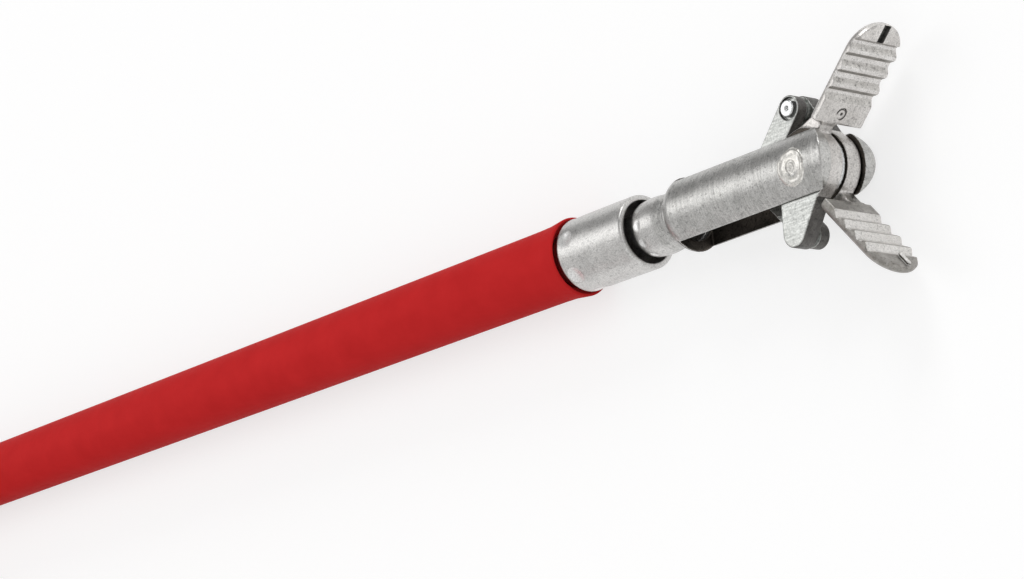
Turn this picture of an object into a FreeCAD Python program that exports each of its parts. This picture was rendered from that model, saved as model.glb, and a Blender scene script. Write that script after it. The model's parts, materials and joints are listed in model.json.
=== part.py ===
import FreeCAD, Part
import math
import os

import Sketcher

# Endoscopic coagulation grasper, lying on a table. The instrument points along +X, +Z is up and
# is also the axis of the jaw pivot. The origin is on the table, under the middle of the box that
# the handle and the head take together.

V = FreeCAD.Vector
X_AXIS = V(1, 0, 0)
Y_AXIS = V(0, 1, 0)
Z_AXIS = V(0, 0, 1)
UPPER = 1
LOWER = -1
# how far a cutter runs past what it cuts
PAST = 1

SIZES = [
    # where the assemblies lie on the table
    ("pivot_x", 113.75), ("head_y", 16.2), ("handle_z", 10.5), ("handle_rear_x", -116.75),
    ("coil_centre_behind", 72.8),
    # clearances that several pieces share
    ("seat_gap", 0.01), ("running_gap", 0.02), ("side_gap", 0.03), ("fit_gap", 0.05),
    ("slide_gap", 0.2),
    # distal head: the clevis and its slot
    ("head_radius", 1.19), ("arm_end_radius", 1.2), ("slot_half", 0.76), ("slot_length", 5.15),
    ("shoulder_x", 5.3), ("cone_length", 0.5), ("neck_radius", 0.82), ("spigot_radius", 0.5),
    ("spigot_length", 1.3), ("clevis_rear", 6.1), ("rod_bore", 0.36),
    # swivel between the clevis and the ferrule
    ("collar_radius", 0.92), ("collar_shoulder", 7.05), ("collar_stem_radius", 0.65),
    ("collar_rear", 8.75), ("retainer_bore", 0.38),
    ("retainer_flange_radius", 0.7), ("retainer_flange", 0.22), ("retainer_grip", 1.2),
    ("retainer_play", 0.06), ("spigot_play", 0.04),
    ("ferrule_front", 7.15), ("ferrule_length", 2.95), ("cup_wall", 0.2), ("cup_depth", 1.65),
    ("web", 0.35), ("ferrule_tail_radius", 0.92), ("ferrule_tail_wall", 0.14),
    ("ferrule_tail_length", 3.6), ("rim_round", 0.16),
    # pivot pin, hubs and jaws
    ("pin_radius", 0.3), ("pin_weld_radius", 0.54), ("pin_weld_height", 0.05),
    ("hub_radius", 1.08), ("hub_inner", 0.1), ("hub_outer", 0.68), ("washer_radius", 1.0),
    ("blade_start", 1.4), ("blade_reach", 4.66), ("blade_half_width", 0.98),
    ("blade_wall", 0.12), ("blade_back", 0.42), ("jaw_gap", 0.03),
    ("neck_start", 0.4), ("neck_overlap", 0.1), ("neck_back", 0.3), ("neck_hub_x", 0.2),
    ("neck_hub_drop", 0.12),
    ("first_tooth", 2.11), ("tooth_count", 4), ("tooth_pitch", 0.54), ("tooth_crest", 0.18),
    ("tooth_depth", 0.15),
    ("tip_slot_width", 0.2), ("tip_slot_depth", 0.15), ("tip_rib_inset", 0.05),
    ("tip_bevel", 1.0), ("tip_bevel_drop", 0.25),
    ("upper_open", 44.2), ("lower_open", 51.7),
    # tails, links and the drive yoke
    ("tail_radius", 1.95), ("upper_tail_angle", 27.3), ("lower_tail_angle", 24.1),
    ("tail_half_width", 0.42),
    ("rivet_radius", 0.16), ("rivet_head_radius", 0.33), ("rivet_head", 0.1),
    ("rivet_collar_radius", 0.3),
    ("link_length", 2.45), ("link_half_width", 0.4), ("link_inner", 0.03), ("link_outer", 0.42),
    ("yoke_open_x", 2.15), ("yoke_pin_radius", 0.12), ("yoke_hole_radius", 0.33),
    ("yoke_ear_inner", 0.45), ("yoke_ear_outer", 0.68), ("yoke_half_height", 0.38),
    ("yoke_fork", 0.8), ("yoke_shoulder", 0.3), ("wire_pull", 2.06), ("rod_radius", 0.32),
    ("rod_rear", 9.9),
    ("crimp_radius", 0.6), ("crimp_length", 1.4), ("wire_radius", 0.25), ("wire_tip_length", 6.3),
    # sheath and its steel coil
    ("sheath_radius", 1.2), ("sheath_bore", 0.94), ("mouth_gap", 0.1), ("mouth_radius", 1.3),
    ("mouth_flare", 1.3), ("mouth_lip", 0.08), ("mouth_bevel", 0.35), ("mouth_length", 10.4),
    ("steel_coil_bore", 0.5),
    ("coil_turn_radius", 21.4), ("coil_columns", 4), ("coil_layers", 4), ("coil_layer_pitch", 2.25),
    ("coil_last_turn", 14.2),
    # handle
    ("handle_length", 118), ("ring_radius", 19), ("ring_hole_radius", 12.5), ("ring_height", 9),
    ("ring_rim_round", 2.5), ("ring_hole_round", 2),
    ("stem_half", 6.5), ("stem_round", 3), ("stem_overlap", 4), ("nose_length", 20),
    ("nose_radius", 7), ("nose_tip_radius", 4.6), ("cap_length", 9), ("cap_wall", 1.4),
    ("slide_slot_height", 4.4), ("slide_slot_round", 0.8), ("slot_end_gap", 2),
    ("guide_bore", 1.4), ("guide_wall", 0.5), ("guide_setback", 1),
    ("push_tube_radius", 0.8), ("push_tube_reach", 2),
    ("boot_length", 14), ("boot_tip_radius", 1.9), ("boot_base_radius", 3.6),
    ("boot_flange_radius", 4.8), ("boot_flange", 2.4), ("boot_socket", 3),
    # spool
    ("spool_behind_nose", 41.25), ("spool_length", 31), ("spool_half_width", 20),
    ("waist_half_width", 11.5), ("waist_drop", 0.8),
    ("spool_flange", 5.5), ("spool_half_height", 10.5), ("spool_round", 6), ("waist_round", 4),
    ("spool_stroke", 8), ("clamp_length", 7), ("clamp_half_width", 9), ("clamp_gap", 0.15),
    ("screw_radius", 1.1), ("screw_head_radius", 2), ("screw_head", 1.6), ("screw_y", 9),
    ("screw_spacing", 19), ("screw_sink", 2), ("screw_top_wall", 3), ("screw_end_gap", 0.5),
    ("set_screw_radius", 0.8),
    # electrode plug on the nose
    ("electrode_behind_nose", 14.25), ("electrode_radius", 1.5), ("electrode_length", 11),
    ("electrode_chamfer", 0.5), ("electrode_seat_radius", 1.7), ("electrode_foot_radius", 2.2),
    ("electrode_foot", 1.5), ("collar_outer", 4), ("collar_chamfer", 0.8),
    ("collar_spigot_radius", 2.95), ("collar_height", 4.5), ("collar_seat", 3),
    ("contact_well_radius", 1.1), ("contact_width", 1.2), ("contact_thickness", 0.4),
]

doc = FreeCAD.newDocument("coagulation_grasper")
sheet = doc.addObject("Spreadsheet::Sheet", "Sizes")
for row, (name, value) in enumerate(SIZES, start=1):
    sheet.set("A%d" % row, name)
    sheet.set("B%d" % row, str(value))
    sheet.setAlias("B%d" % row, name)
doc.recompute()


class Size:
    """The sheet's cells as plain numbers."""

    def __getattr__(self, name):
        return float(getattr(sheet, name))


s = Size()
PARTS = []


def keep(item, label, base=None, rotation=None):
    """Give a sub-part its name and its place, and list it for export."""
    item.Label = label
    item.Placement = FreeCAD.Placement(base or V(), rotation or FreeCAD.Rotation())
    PARTS.append(item)
    return item


def shaped(label, shape, base=None, rotation=None):
    """A sub-part whose shape is worked out in code from the sheet's sizes."""
    item = doc.addObject("Part::Feature", label)
    item.Shape = shape
    return keep(item, label, base, rotation)


def turned(label, outline, base=None, rotation=None):
    """A part turned about its own X axis. The outline lists (along, radius) expressions."""
    body = doc.addObject("PartDesign::Body", label)
    planes = {f.Role: f for f in body.Origin.OriginFeatures}
    sketch = body.newObject("Sketcher::SketchObject", label + "_outline")
    sketch.AttachmentSupport = [(planes["XY_Plane"], "")]
    sketch.MapMode = "FlatFace"
    spots = [V(number(along), number(radius), 0) for along, radius in outline]
    for k, spot in enumerate(spots):
        sketch.addGeometry(Part.LineSegment(spot, spots[(k + 1) % len(spots)]), False)
    for k, (along, radius) in enumerate(outline):
        sketch.addConstraint(Sketcher.Constraint("Coincident", k - 1 if k else len(spots) - 1, 2, k, 1))
        bind(sketch, k, "DistanceX", along)
        bind(sketch, k, "DistanceY", radius)
    turn = body.newObject("PartDesign::Revolution", label + "_turn")
    turn.Profile = sketch
    turn.ReferenceAxis = (sketch, ["H_Axis"])
    turn.Angle = 360
    body.Tip = turn
    return keep(body, label, base, rotation)


def bind(sketch, line, kind, text):
    """Tie the start of a line to an expression, or to the axis where the expression is zero."""
    if text == "0":
        axis = -2 if kind == "DistanceX" else -1
        sketch.addConstraint(Sketcher.Constraint("PointOnObject", line, 1, axis))
        return
    place = sketch.addConstraint(Sketcher.Constraint(kind, -1, 1, line, 1, number(text)))
    sketch.setExpression("Constraints[%d]" % place, named(text))


def named(text):
    """An expression whose words are cells of the sheet."""
    words = "".join(c if c.isalnum() or c == "_" else " " for c in text).split()
    for word in sorted(set(words), key=len, reverse=True):
        if word[0].isalpha():
            text = replace_word(text, word, "Sizes." + word)
    return text


def replace_word(text, word, new):
    parts, token = [], ""
    for c in text + " ":
        if c.isalnum() or c in "_.":
            token += c
            continue
        parts.append(new if token == word else token)
        parts.append(c)
        token = ""
    return "".join(parts).strip()


def number(text):
    """The value of an expression of cells joined by + and -."""
    total, sign = 0.0, 1
    for word in text.replace("+", " + ").replace("-", " - ").split():
        if word in "+-":
            sign = 1 if word == "+" else -1
        else:
            total += sign * (getattr(s, word) if word[0].isalpha() else float(word))
    return total


def cylinder(label, radius, height):
    """A cylinder along Z whose radius and height follow expressions."""
    item = doc.addObject("Part::Cylinder", label)
    item.setExpression("Radius", named(radius))
    item.setExpression("Height", named(height))
    return item


def tube(label, outer, inner, length, base, rotation):
    """A plain tube along Z in its own frame."""
    cut = doc.addObject("Part::Cut", label)
    cut.Base = cylinder(label + "_outer", outer, length)
    cut.Tool = cylinder(label + "_bore", inner, length)
    return keep(cut, label, base, rotation)


ALONG_X = FreeCAD.Rotation(Y_AXIS, 90)
X_TO_Z = FreeCAD.Rotation(Y_AXIS, -90)
Z0 = s.mouth_radius


def head_spot(behind=0.0, y=0.0, z=0.0):
    """A point of the head, given by its distance behind the pivot."""
    return V(s.pivot_x - behind, s.head_y + y, Z0 + z)


def slab(points, z0, z1):
    """A plate between two heights from its corners in X and Y."""
    wire = Part.makePolygon([V(x, y, z0) for x, y in points + points[:1]])
    return Part.Face(wire).extrude(V(0, 0, z1 - z0))


def disc(radius, z0, z1, x=0.0, y=0.0):
    return Part.makeCylinder(radius, z1 - z0, V(x, y, z0))


def rod(radius, x0, x1):
    """A round bar along the X axis."""
    return Part.makeCylinder(radius, x1 - x0, V(x0, 0, 0), X_AXIS)


def block(x0, x1, half_y, half_z):
    """A square bar along X, centred on its axis."""
    return Part.makeBox(x1 - x0, 2 * half_y, 2 * half_z, V(x0, -half_y, -half_z))


def rounded_block(x0, x1, half_y, half_z, radius):
    """A square bar along X with its four long edges rounded."""
    shape = block(x0, x1, half_y, half_z)
    along = [e for e in shape.Edges if abs(e.tangentAt(e.FirstParameter).x) > 0.99]
    return shape.makeFillet(radius, along)


def bar(x, y, half_width, z0, z1):
    """A flat bar with round ends from the origin to a point."""
    length = math.hypot(x, y)
    plate = Part.makeBox(length, 2 * half_width, z1 - z0, V(0, -half_width, z0))
    plate.rotate(V(), Z_AXIS, math.degrees(math.atan2(y, x)))
    return plate.fuse([disc(half_width, z0, z1), disc(half_width, z0, z1, x, y)])


def tail_end(side):
    """The rivet's place in a closed jaw's own frame."""
    angle = math.radians(s.upper_tail_angle if side == UPPER else s.lower_tail_angle)
    return -s.tail_radius * math.cos(angle), -side * s.tail_radius * math.sin(angle)


def valleys(side):
    """The cuts between the teeth: flat ones in the upper jaw, sawtooth ones in the lower one."""
    low, high, crest = 0.0, s.jaw_gap + s.tooth_depth, s.tooth_crest
    reach = s.blade_half_width + PAST
    cuts = []
    for k in range(int(s.tooth_count)):
        x0 = s.first_tooth + k * s.tooth_pitch
        x1 = x0 + s.tooth_pitch - crest
        outline = [(x0, low), (x0 + crest / 2, high), (x1, high), (x1 + crest / 4, low)]
        if side == LOWER:
            outline = [(x0, low), (x0 + crest, high), (x1 + crest, low)]
        cuts.append(slab(outline, -reach, reach))
    return cuts


def tip_bar(width, low, high, inset):
    """A bar along the middle of the flat tip: the upper jaw's slot or the lower jaw's rib."""
    x0 = s.first_tooth + s.tooth_count * s.tooth_pitch - s.tooth_crest / 2 + inset
    return Part.makeBox(s.blade_reach - inset - x0, high - low, width, V(x0, low, -width / 2))


def tip_back():
    """What slopes away behind the tip, where the blade gets thinner."""
    wide, back = s.blade_half_width + PAST, s.jaw_gap + s.blade_wall + s.blade_back
    bevel, end, front = s.blade_reach - s.tip_bevel, s.blade_reach, s.blade_reach + PAST
    low = back - s.tip_bevel_drop
    outline = [(bevel, back), (end, low), (front, low), (front, back + PAST), (bevel, back + PAST)]
    return slab(outline, -wide, wide)


def blade(side):
    """One jaw blade, closed, along +X, with its gripping face towards the other jaw."""
    half, reach, start = s.blade_half_width, s.blade_reach, s.blade_start
    wall, back = s.jaw_gap + s.blade_wall, s.blade_back
    arc = Part.Ellipse(V(0, 0, 0), half, back).toShape(0, math.pi)
    arc.translate(V(0, wall, 0))
    corners = [V(-half, wall, 0), V(-half, s.jaw_gap, 0), V(half, s.jaw_gap, 0), V(half, wall, 0)]
    section = Part.Wire([arc] + Part.makePolygon(corners).Edges)
    stock = Part.Face(section).extrude(V(0, 0, reach - start))
    stock.rotate(V(), Y_AXIS, 90)
    stock.translate(V(start, 0, 0))
    height = wall + back
    plan = Part.makeBox(reach - half - start, height, 2 * half, V(start, 0, -half))
    plan = plan.fuse(Part.makeCylinder(half, height, V(reach - half, 0, 0), Y_AXIS))
    shape = stock.common(plan).cut([tip_back()] + valleys(side))
    if side == UPPER:
        return shape.cut(tip_bar(s.tip_slot_width, 0, s.jaw_gap + s.tip_slot_depth, 0))
    rib = tip_bar(s.tip_slot_width - s.running_gap, -s.tip_slot_depth / 2, s.tip_slot_depth / 2,
                  s.tip_rib_inset)
    return shape.fuse(rib).mirror(V(), Y_AXIS)


def jaw(label, side, open_angle):
    """A jaw with its hub, tail and rivet hole, turned to its open place."""
    z0, z1 = (s.hub_inner, s.hub_outer) if side == UPPER else (-s.hub_outer, -s.hub_inner)
    x, y = tail_end(side)
    front = s.blade_start + s.neck_overlap
    face, back = side * s.jaw_gap, side * (s.jaw_gap + s.blade_wall + s.neck_back)
    neck = [(s.neck_start, face), (front, face), (front, back),
            (s.neck_hub_x, side * (s.hub_radius - s.neck_hub_drop))]
    shape = disc(s.hub_radius, z0, z1).fuse([
        slab(neck, z0, z1), bar(x, y, s.tail_half_width, z0, z1), blade(side)])
    shape = shape.cut(disc(s.pin_radius + s.fit_gap, z0 - PAST, z1 + PAST))
    shape = shape.cut(disc(s.rivet_radius, z0 - PAST, z1 + PAST, x, y))
    shaped(label, shape, head_spot(), FreeCAD.Rotation(Z_AXIS, side * open_angle))


def rest_rivet(side, open_angle):
    """The rivet's place at rest, from the pivot."""
    x, y = tail_end(side)
    turn = math.radians(side * open_angle)
    return x * math.cos(turn) - y * math.sin(turn), x * math.sin(turn) + y * math.cos(turn)


def link(label, side, rivet_spot, angle):
    """A link from a tail's rivet to the yoke pin. Its hole at the yoke is oversize."""
    near = s.link_inner if side == UPPER else -s.link_outer
    far = s.link_outer if side == UPPER else -s.link_inner
    shape = bar(s.link_length, 0, s.link_half_width, near, far)
    shape = shape.cut(disc(s.rivet_radius + s.running_gap, near - PAST, far + PAST))
    shape = shape.cut(disc(s.yoke_hole_radius, near - PAST, far + PAST, s.link_length))
    place = head_spot(-rivet_spot[0], rivet_spot[1])
    shaped(label, shape.removeSplitter(), place, FreeCAD.Rotation(Z_AXIS, angle))


def rivet(label, side, spot):
    """A headed rivet through a link and a tail, with a collar in the gap between them."""
    outline = [
        ("0", "0"), ("0", "rivet_radius"),
        ("hub_outer - hub_inner + seat_gap", "rivet_radius"),
        ("hub_outer - hub_inner + seat_gap", "rivet_collar_radius"),
        ("hub_outer + link_inner - seat_gap", "rivet_collar_radius"),
        ("hub_outer + link_inner - seat_gap", "rivet_radius"),
        ("hub_outer + link_outer + seat_gap", "rivet_radius"),
        ("hub_outer + link_outer + seat_gap", "rivet_head_radius"),
        ("hub_outer + link_outer + rivet_head", "rivet_head_radius"),
        ("hub_outer + link_outer + rivet_head", "0"),
    ]
    turn = X_TO_Z if side == UPPER else ALONG_X
    turned(label, outline, head_spot(-spot[0], spot[1], -side * s.hub_outer), turn)


def clevis():
    """The slotted tube that carries the pivot, with its cone, neck and spigot."""
    tail, front = -s.clevis_rear - s.spigot_length, s.arm_end_radius + PAST
    outline = [
        (tail, 0), (tail, s.spigot_radius), (-s.clevis_rear, s.spigot_radius),
        (-s.clevis_rear, s.neck_radius), (-s.shoulder_x - s.cone_length, s.neck_radius),
        (-s.shoulder_x, s.head_radius), (front, s.head_radius), (front, 0)]
    points = [V(x, radius, 0) for x, radius in outline]
    shape = Part.Face(Part.makePolygon(points + points[:1])).revolve(V(), X_AXIS, 360)
    shape = shape.cut(rod(s.rod_bore, tail, front))
    wide = s.head_radius + PAST
    shape = shape.cut(block(-s.slot_length, front + PAST, wide, s.slot_half))
    pulled = s.yoke_open_x + s.yoke_fork + s.yoke_shoulder + s.wire_pull
    pocket_radius = math.hypot(s.yoke_half_height, s.yoke_ear_outer) + s.fit_gap
    shape = shape.cut(rod(pocket_radius, -pulled - 2 * s.fit_gap, -s.slot_length))
    ends = block(0, front + PAST, wide, wide).cut(disc(s.arm_end_radius, -wide, wide))
    shape = shape.cut(ends).cut(disc(s.pin_radius, -wide, wide))
    shaped("clevis", shape.removeSplitter(), head_spot())


def pivot_pin():
    """The welded pin through both arms, with a low weld ring at each end."""
    wide = s.head_radius + PAST
    inner = rod(s.head_radius, -wide, wide)
    outer = rod(s.head_radius + s.pin_weld_height, -wide, wide)
    welds = disc(s.pin_weld_radius, -wide, wide).common(outer.cut(inner))
    shape = disc(s.pin_radius, -wide, wide).common(inner).fuse(welds)
    shaped("pivot_pin", shape, head_spot())


def head():
    """Everything in front of the sheath."""
    jaw("jaw_upper", UPPER, s.upper_open)
    jaw("jaw_lower", LOWER, s.lower_open)
    tube("hub_washer", "washer_radius", "pin_radius + fit_gap", "hub_inner + hub_inner - side_gap - side_gap",
         head_spot(z=s.side_gap - s.hub_inner), FreeCAD.Rotation())
    clevis()
    pivot_pin()
    for name, side, angle in (("upper", LOWER, s.lower_open), ("lower", UPPER, s.upper_open)):
        spot = rest_rivet(side, angle)
        rivet("rivet_" + name, -side, spot)
        reach = math.degrees(math.atan2(-spot[1], -s.yoke_open_x - spot[0]))
        link("link_" + name, -side, spot, reach)
    drive()
    swivel()


def drive():
    """The forked yoke with its rod, the pin in its ears, and the wire crimped on behind."""
    base = -s.yoke_open_x - s.yoke_fork
    fork = block(base - s.yoke_shoulder, -s.yoke_open_x, s.yoke_half_height, s.yoke_ear_outer)
    fork = fork.fuse(disc(s.yoke_half_height, -s.yoke_ear_outer, s.yoke_ear_outer, -s.yoke_open_x))
    fork = fork.cut(block(base, 0, s.yoke_half_height + PAST, s.yoke_ear_inner))
    fork = fork.cut(disc(s.yoke_pin_radius, -s.yoke_ear_outer, s.yoke_ear_outer, -s.yoke_open_x))
    shaped("drive_yoke", fork.fuse(rod(s.rod_radius, -s.rod_rear, base)).removeSplitter(), head_spot())
    pin = cylinder("yoke_pin", "yoke_pin_radius", "yoke_ear_outer + yoke_ear_outer")
    keep(pin, "yoke_pin", head_spot(s.yoke_open_x, z=-s.yoke_ear_outer))
    tube("wire_crimp", "crimp_radius", "wire_radius", "crimp_length",
         head_spot(s.rod_rear + s.crimp_length), ALONG_X)
    wire = cylinder("drive_wire_distal", "wire_radius", "wire_tip_length")
    keep(wire, "drive_wire_distal", head_spot(s.rod_rear + s.wire_tip_length), ALONG_X)


def swivel():
    """The collar that the clevis is pressed into, the hollow rivet that holds it, and the ferrule."""
    turned("swivel_collar", [
        ("0", "spigot_radius"), ("0", "collar_stem_radius"),
        ("collar_rear - collar_shoulder", "collar_stem_radius"),
        ("collar_rear - collar_shoulder", "collar_radius - rim_round"),
        ("collar_rear - collar_shoulder + rim_round", "collar_radius"),
        ("collar_rear - clevis_rear", "collar_radius"),
        ("collar_rear - clevis_rear", "spigot_radius")], head_spot(s.collar_rear))
    rear = s.collar_rear + s.web + s.retainer_play + s.retainer_flange
    grip = "retainer_flange + web + retainer_play + retainer_grip"
    turned("swivel_retainer", [
        ("0", "retainer_bore"), ("0", "retainer_flange_radius"),
        ("retainer_flange", "retainer_flange_radius"), ("retainer_flange", "spigot_radius"),
        (grip, "spigot_radius"), (grip, "retainer_bore")], head_spot(rear))
    tail_bore = "ferrule_tail_radius - ferrule_tail_wall"
    front = "ferrule_tail_length + ferrule_length"
    web_x = "ferrule_tail_length + ferrule_length - cup_depth"
    turned("ferrule", [
        ("0", tail_bore), ("0", "ferrule_tail_radius"),
        ("ferrule_tail_length", "ferrule_tail_radius"),
        ("ferrule_tail_length", "head_radius - rim_round"),
        ("ferrule_tail_length + rim_round", "head_radius"),
        (front, "head_radius"), (front, "head_radius - cup_wall"),
        (web_x, "head_radius - cup_wall"), (web_x, "spigot_radius + spigot_play"),
        (web_x + " - web", "spigot_radius + spigot_play"),
        (web_x + " - web", tail_bore)], head_spot(ferrule_tail()))


def ferrule_tail():
    """How far behind the pivot the ferrule ends, inside the sheath."""
    return s.ferrule_front + s.ferrule_length + s.ferrule_tail_length


def sheath():
    """The red sheath: its open mouth, the straight stretch, the put-away coil and the handle end."""
    behind = s.ferrule_front + s.ferrule_length + s.mouth_gap + s.mouth_length
    turned("sheath_mouth", [
        ("0", "sheath_bore"), ("0", "sheath_radius"),
        ("mouth_length - mouth_flare", "sheath_radius"), ("mouth_length", "mouth_radius"),
        ("mouth_length", "mouth_radius - mouth_lip"),
        ("mouth_length - mouth_bevel", "sheath_bore")], head_spot(behind))
    steel = rod(s.sheath_bore - s.running_gap, 0, behind - ferrule_tail())
    steel = steel.cut(rod(s.steel_coil_bore, 0, behind - ferrule_tail()))
    shaped("steel_coil_end", steel, head_spot(behind))
    coil_x = s.pivot_x - s.coil_centre_behind
    coil_y = s.head_y - s.coil_turn_radius
    straight = cylinder("sheath_straight", "sheath_radius",
                        "coil_centre_behind - ferrule_front - ferrule_length - mouth_gap - mouth_length")
    keep(straight, "sheath_straight", V(coil_x, s.head_y, Z0), ALONG_X)
    outer = s.coil_turn_radius + s.sheath_radius
    inner = outer - 2 * s.coil_columns * s.sheath_radius
    height = 2 * s.sheath_radius + (s.coil_layers - 1) * s.coil_layer_pitch
    bundle = disc(outer, 0, height).cut(disc(inner, 0, height))
    shaped("sheath_coil", bundle, V(coil_x, coil_y, 0))
    route = [
        V(coil_x, coil_y + s.coil_last_turn, height - s.sheath_radius),
        V(35.7, 8.7, 8.3), V(30.7, 7.2, 8.9), V(26.1, 4.6, 9.6), V(21.8, 1.6, 10.2),
        V(16.8, 0.0, 10.5),
        V(boot_seat_x(), 0.0, s.handle_z)]
    shaped("sheath_handle_run", swept(route, s.sheath_radius, "sheath_handle_run"))


def swept(points, radius, label):
    """A round tube along straight runs joined by tangent arcs, each as large as its runs allow."""
    edges, here = [], points[0]
    for k in range(1, len(points) - 1):
        into, out = points[k] - points[k - 1], points[k + 1] - points[k]
        turn = into.getAngle(out)
        cut = 0.45 * min(into.Length, out.Length)
        arc_radius = cut / math.tan(turn / 2)
        print(label, "arc", k, "radius", round(arc_radius, 1), "turn", round(math.degrees(turn), 1))
        first = points[k] - into.normalize() * cut
        last = points[k] + out.normalize() * cut
        middle = points[k] + (first + last - points[k] * 2).normalize() * (
            arc_radius / math.cos(turn / 2) - arc_radius)
        edges.append(Part.LineSegment(here, first).toShape())
        edges.append(Part.Arc(first, middle, last).toShape())
        here = last
    edges.append(Part.LineSegment(here, points[-1]).toShape())
    path = Part.Wire(edges)
    circle = Part.makeCircle(radius, points[0], points[1] - points[0])
    solid = path.makePipeShell([Part.Wire([circle])], True, False)
    share = solid.Volume / (math.pi * radius ** 2 * path.Length)
    print(label, "length", round(path.Length, 2), "volume share", round(share, 4))
    return solid


def nose_x():
    """The front face of the handle's nose."""
    return s.handle_rear_x + s.handle_length


def boot_seat_x():
    """Where the sheath stops inside the boot."""
    return nose_x() + s.boot_length - s.boot_socket


def spool_x():
    """The middle of the spool at rest."""
    return nose_x() - s.spool_behind_nose


def slot_front():
    """The front end of the slot that the wire clamp slides in."""
    return spool_x() + s.clamp_length / 2 + s.slot_end_gap


def electrode_x():
    return nose_x() - s.electrode_behind_nose


def foot_height():
    """How high above the handle's axis the electrode's foot sits."""
    return s.nose_radius - s.collar_seat


def on_axis(x, height=0.0):
    """A point of the handle, given by its height above the handle's axis."""
    return V(x, 0, s.handle_z + height)


def handle():
    """The one-piece body: thumb ring, slotted stem and nose."""
    ring_x = s.handle_rear_x + s.ring_radius
    half = s.ring_height / 2
    ring = disc(s.ring_radius, -half, half, ring_x)
    ring = ring.makeFillet(s.ring_rim_round, [ring.Edges[0], ring.Edges[2]])
    nose_rear = nose_x() - s.nose_length
    stem = rounded_block(ring_x + s.ring_radius - s.stem_overlap, nose_rear + PAST, s.stem_half,
                         s.stem_half, s.stem_round)
    seat = nose_x() - s.cap_length
    spigot = rod(s.nose_radius - s.cap_wall, seat, nose_x() - s.boot_flange - s.cap_wall)
    shape = ring.fuse([stem, rod(s.nose_radius, nose_rear, seat), spigot])
    shape = shape.cut(disc(s.ring_hole_radius, -half - PAST, half + PAST, ring_x))
    hole_length = 2 * math.pi * s.ring_hole_radius
    edge = [e for e in shape.Edges if abs(e.Length - hole_length) < s.seat_gap]
    shape = shape.makeFillet(s.ring_hole_round, edge)
    slot_rear = spool_x() - s.clamp_length / 2 - s.spool_stroke - s.slot_end_gap
    shape = shape.cut(rounded_block(slot_rear, slot_front(), s.stem_half + PAST,
                                    s.slide_slot_height / 2, s.slide_slot_round))
    shape = shape.cut(rod(s.guide_bore, slot_front() - PAST, nose_x()))
    top = s.nose_radius + PAST
    shape = shape.cut(disc(s.collar_spigot_radius + s.fit_gap, foot_height(), top, electrode_x()))
    shape = shape.cut(disc(s.contact_well_radius, 0, top, electrode_x())).removeSplitter()
    shaped("handle_body", shape, on_axis(0))


def nose():
    """The cap, the boot that it holds and the guide tube."""
    seat = nose_x() - s.cap_length
    turned("nose_cap", [
        ("0", "nose_radius - cap_wall + fit_gap"), ("0", "nose_radius"),
        ("cap_length - cap_wall", "nose_radius"), ("cap_length", "nose_tip_radius"),
        ("cap_length", "boot_base_radius + fit_gap"),
        ("cap_length - cap_wall", "boot_base_radius + fit_gap"),
        ("cap_length - cap_wall", "nose_radius - cap_wall + fit_gap")], on_axis(seat))
    tip = "boot_flange + cap_wall + boot_length"
    turned("strain_relief_boot", [
        ("0", "push_tube_radius + slide_gap"), ("0", "boot_flange_radius"),
        ("boot_flange", "boot_flange_radius"), ("boot_flange", "boot_base_radius"),
        ("boot_flange + cap_wall", "boot_base_radius"), (tip, "boot_tip_radius"),
        (tip, "sheath_radius + fit_gap"), (tip + " - boot_socket", "sheath_radius + fit_gap"),
        (tip + " - boot_socket", "push_tube_radius + slide_gap")],
        on_axis(nose_x() - s.cap_wall - s.boot_flange))
    tube("guide_tube", "guide_bore - seat_gap", "guide_bore - guide_wall",
         "spool_behind_nose - clamp_length / 2 - slot_end_gap - guide_setback"
         " - cap_wall - boot_flange - slide_gap", on_axis(slot_front() + s.guide_setback), ALONG_X)


def electrode():
    """The active pin standing out of the nose in its collar, with a contact strip to the push tube."""
    top = "electrode_foot + collar_seat + collar_height"
    turned("electrode_pin", [
        ("0", "0"), ("0", "electrode_foot_radius"), ("electrode_foot", "electrode_foot_radius"),
        ("electrode_foot", "electrode_seat_radius"), (top, "electrode_seat_radius"),
        (top, "electrode_radius"),
        (top + " + electrode_length - electrode_chamfer", "electrode_radius"),
        (top + " + electrode_length", "electrode_radius - electrode_chamfer"),
        (top + " + electrode_length", "0")],
        on_axis(electrode_x(), foot_height()), X_TO_Z)
    rim = "collar_seat - electrode_foot + fit_gap + fit_gap"
    height = "collar_seat + collar_height"
    turned("electrode_collar", [
        ("0", "electrode_seat_radius + seat_gap"), ("0", "collar_spigot_radius"),
        (rim, "collar_spigot_radius"), (rim, "collar_outer"),
        (height + " - collar_chamfer", "collar_outer"),
        (height, "collar_outer - collar_chamfer"), (height, "electrode_seat_radius + seat_gap")],
        on_axis(electrode_x(), foot_height() + s.electrode_foot), X_TO_Z)
    low = s.guide_bore + s.seat_gap
    strip = Part.makeBox(s.contact_width, s.contact_thickness, foot_height() - s.seat_gap - low,
                         V(-s.contact_width / 2, -s.contact_thickness / 2, low))
    shaped("contact_strip", strip, on_axis(electrode_x()))


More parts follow.
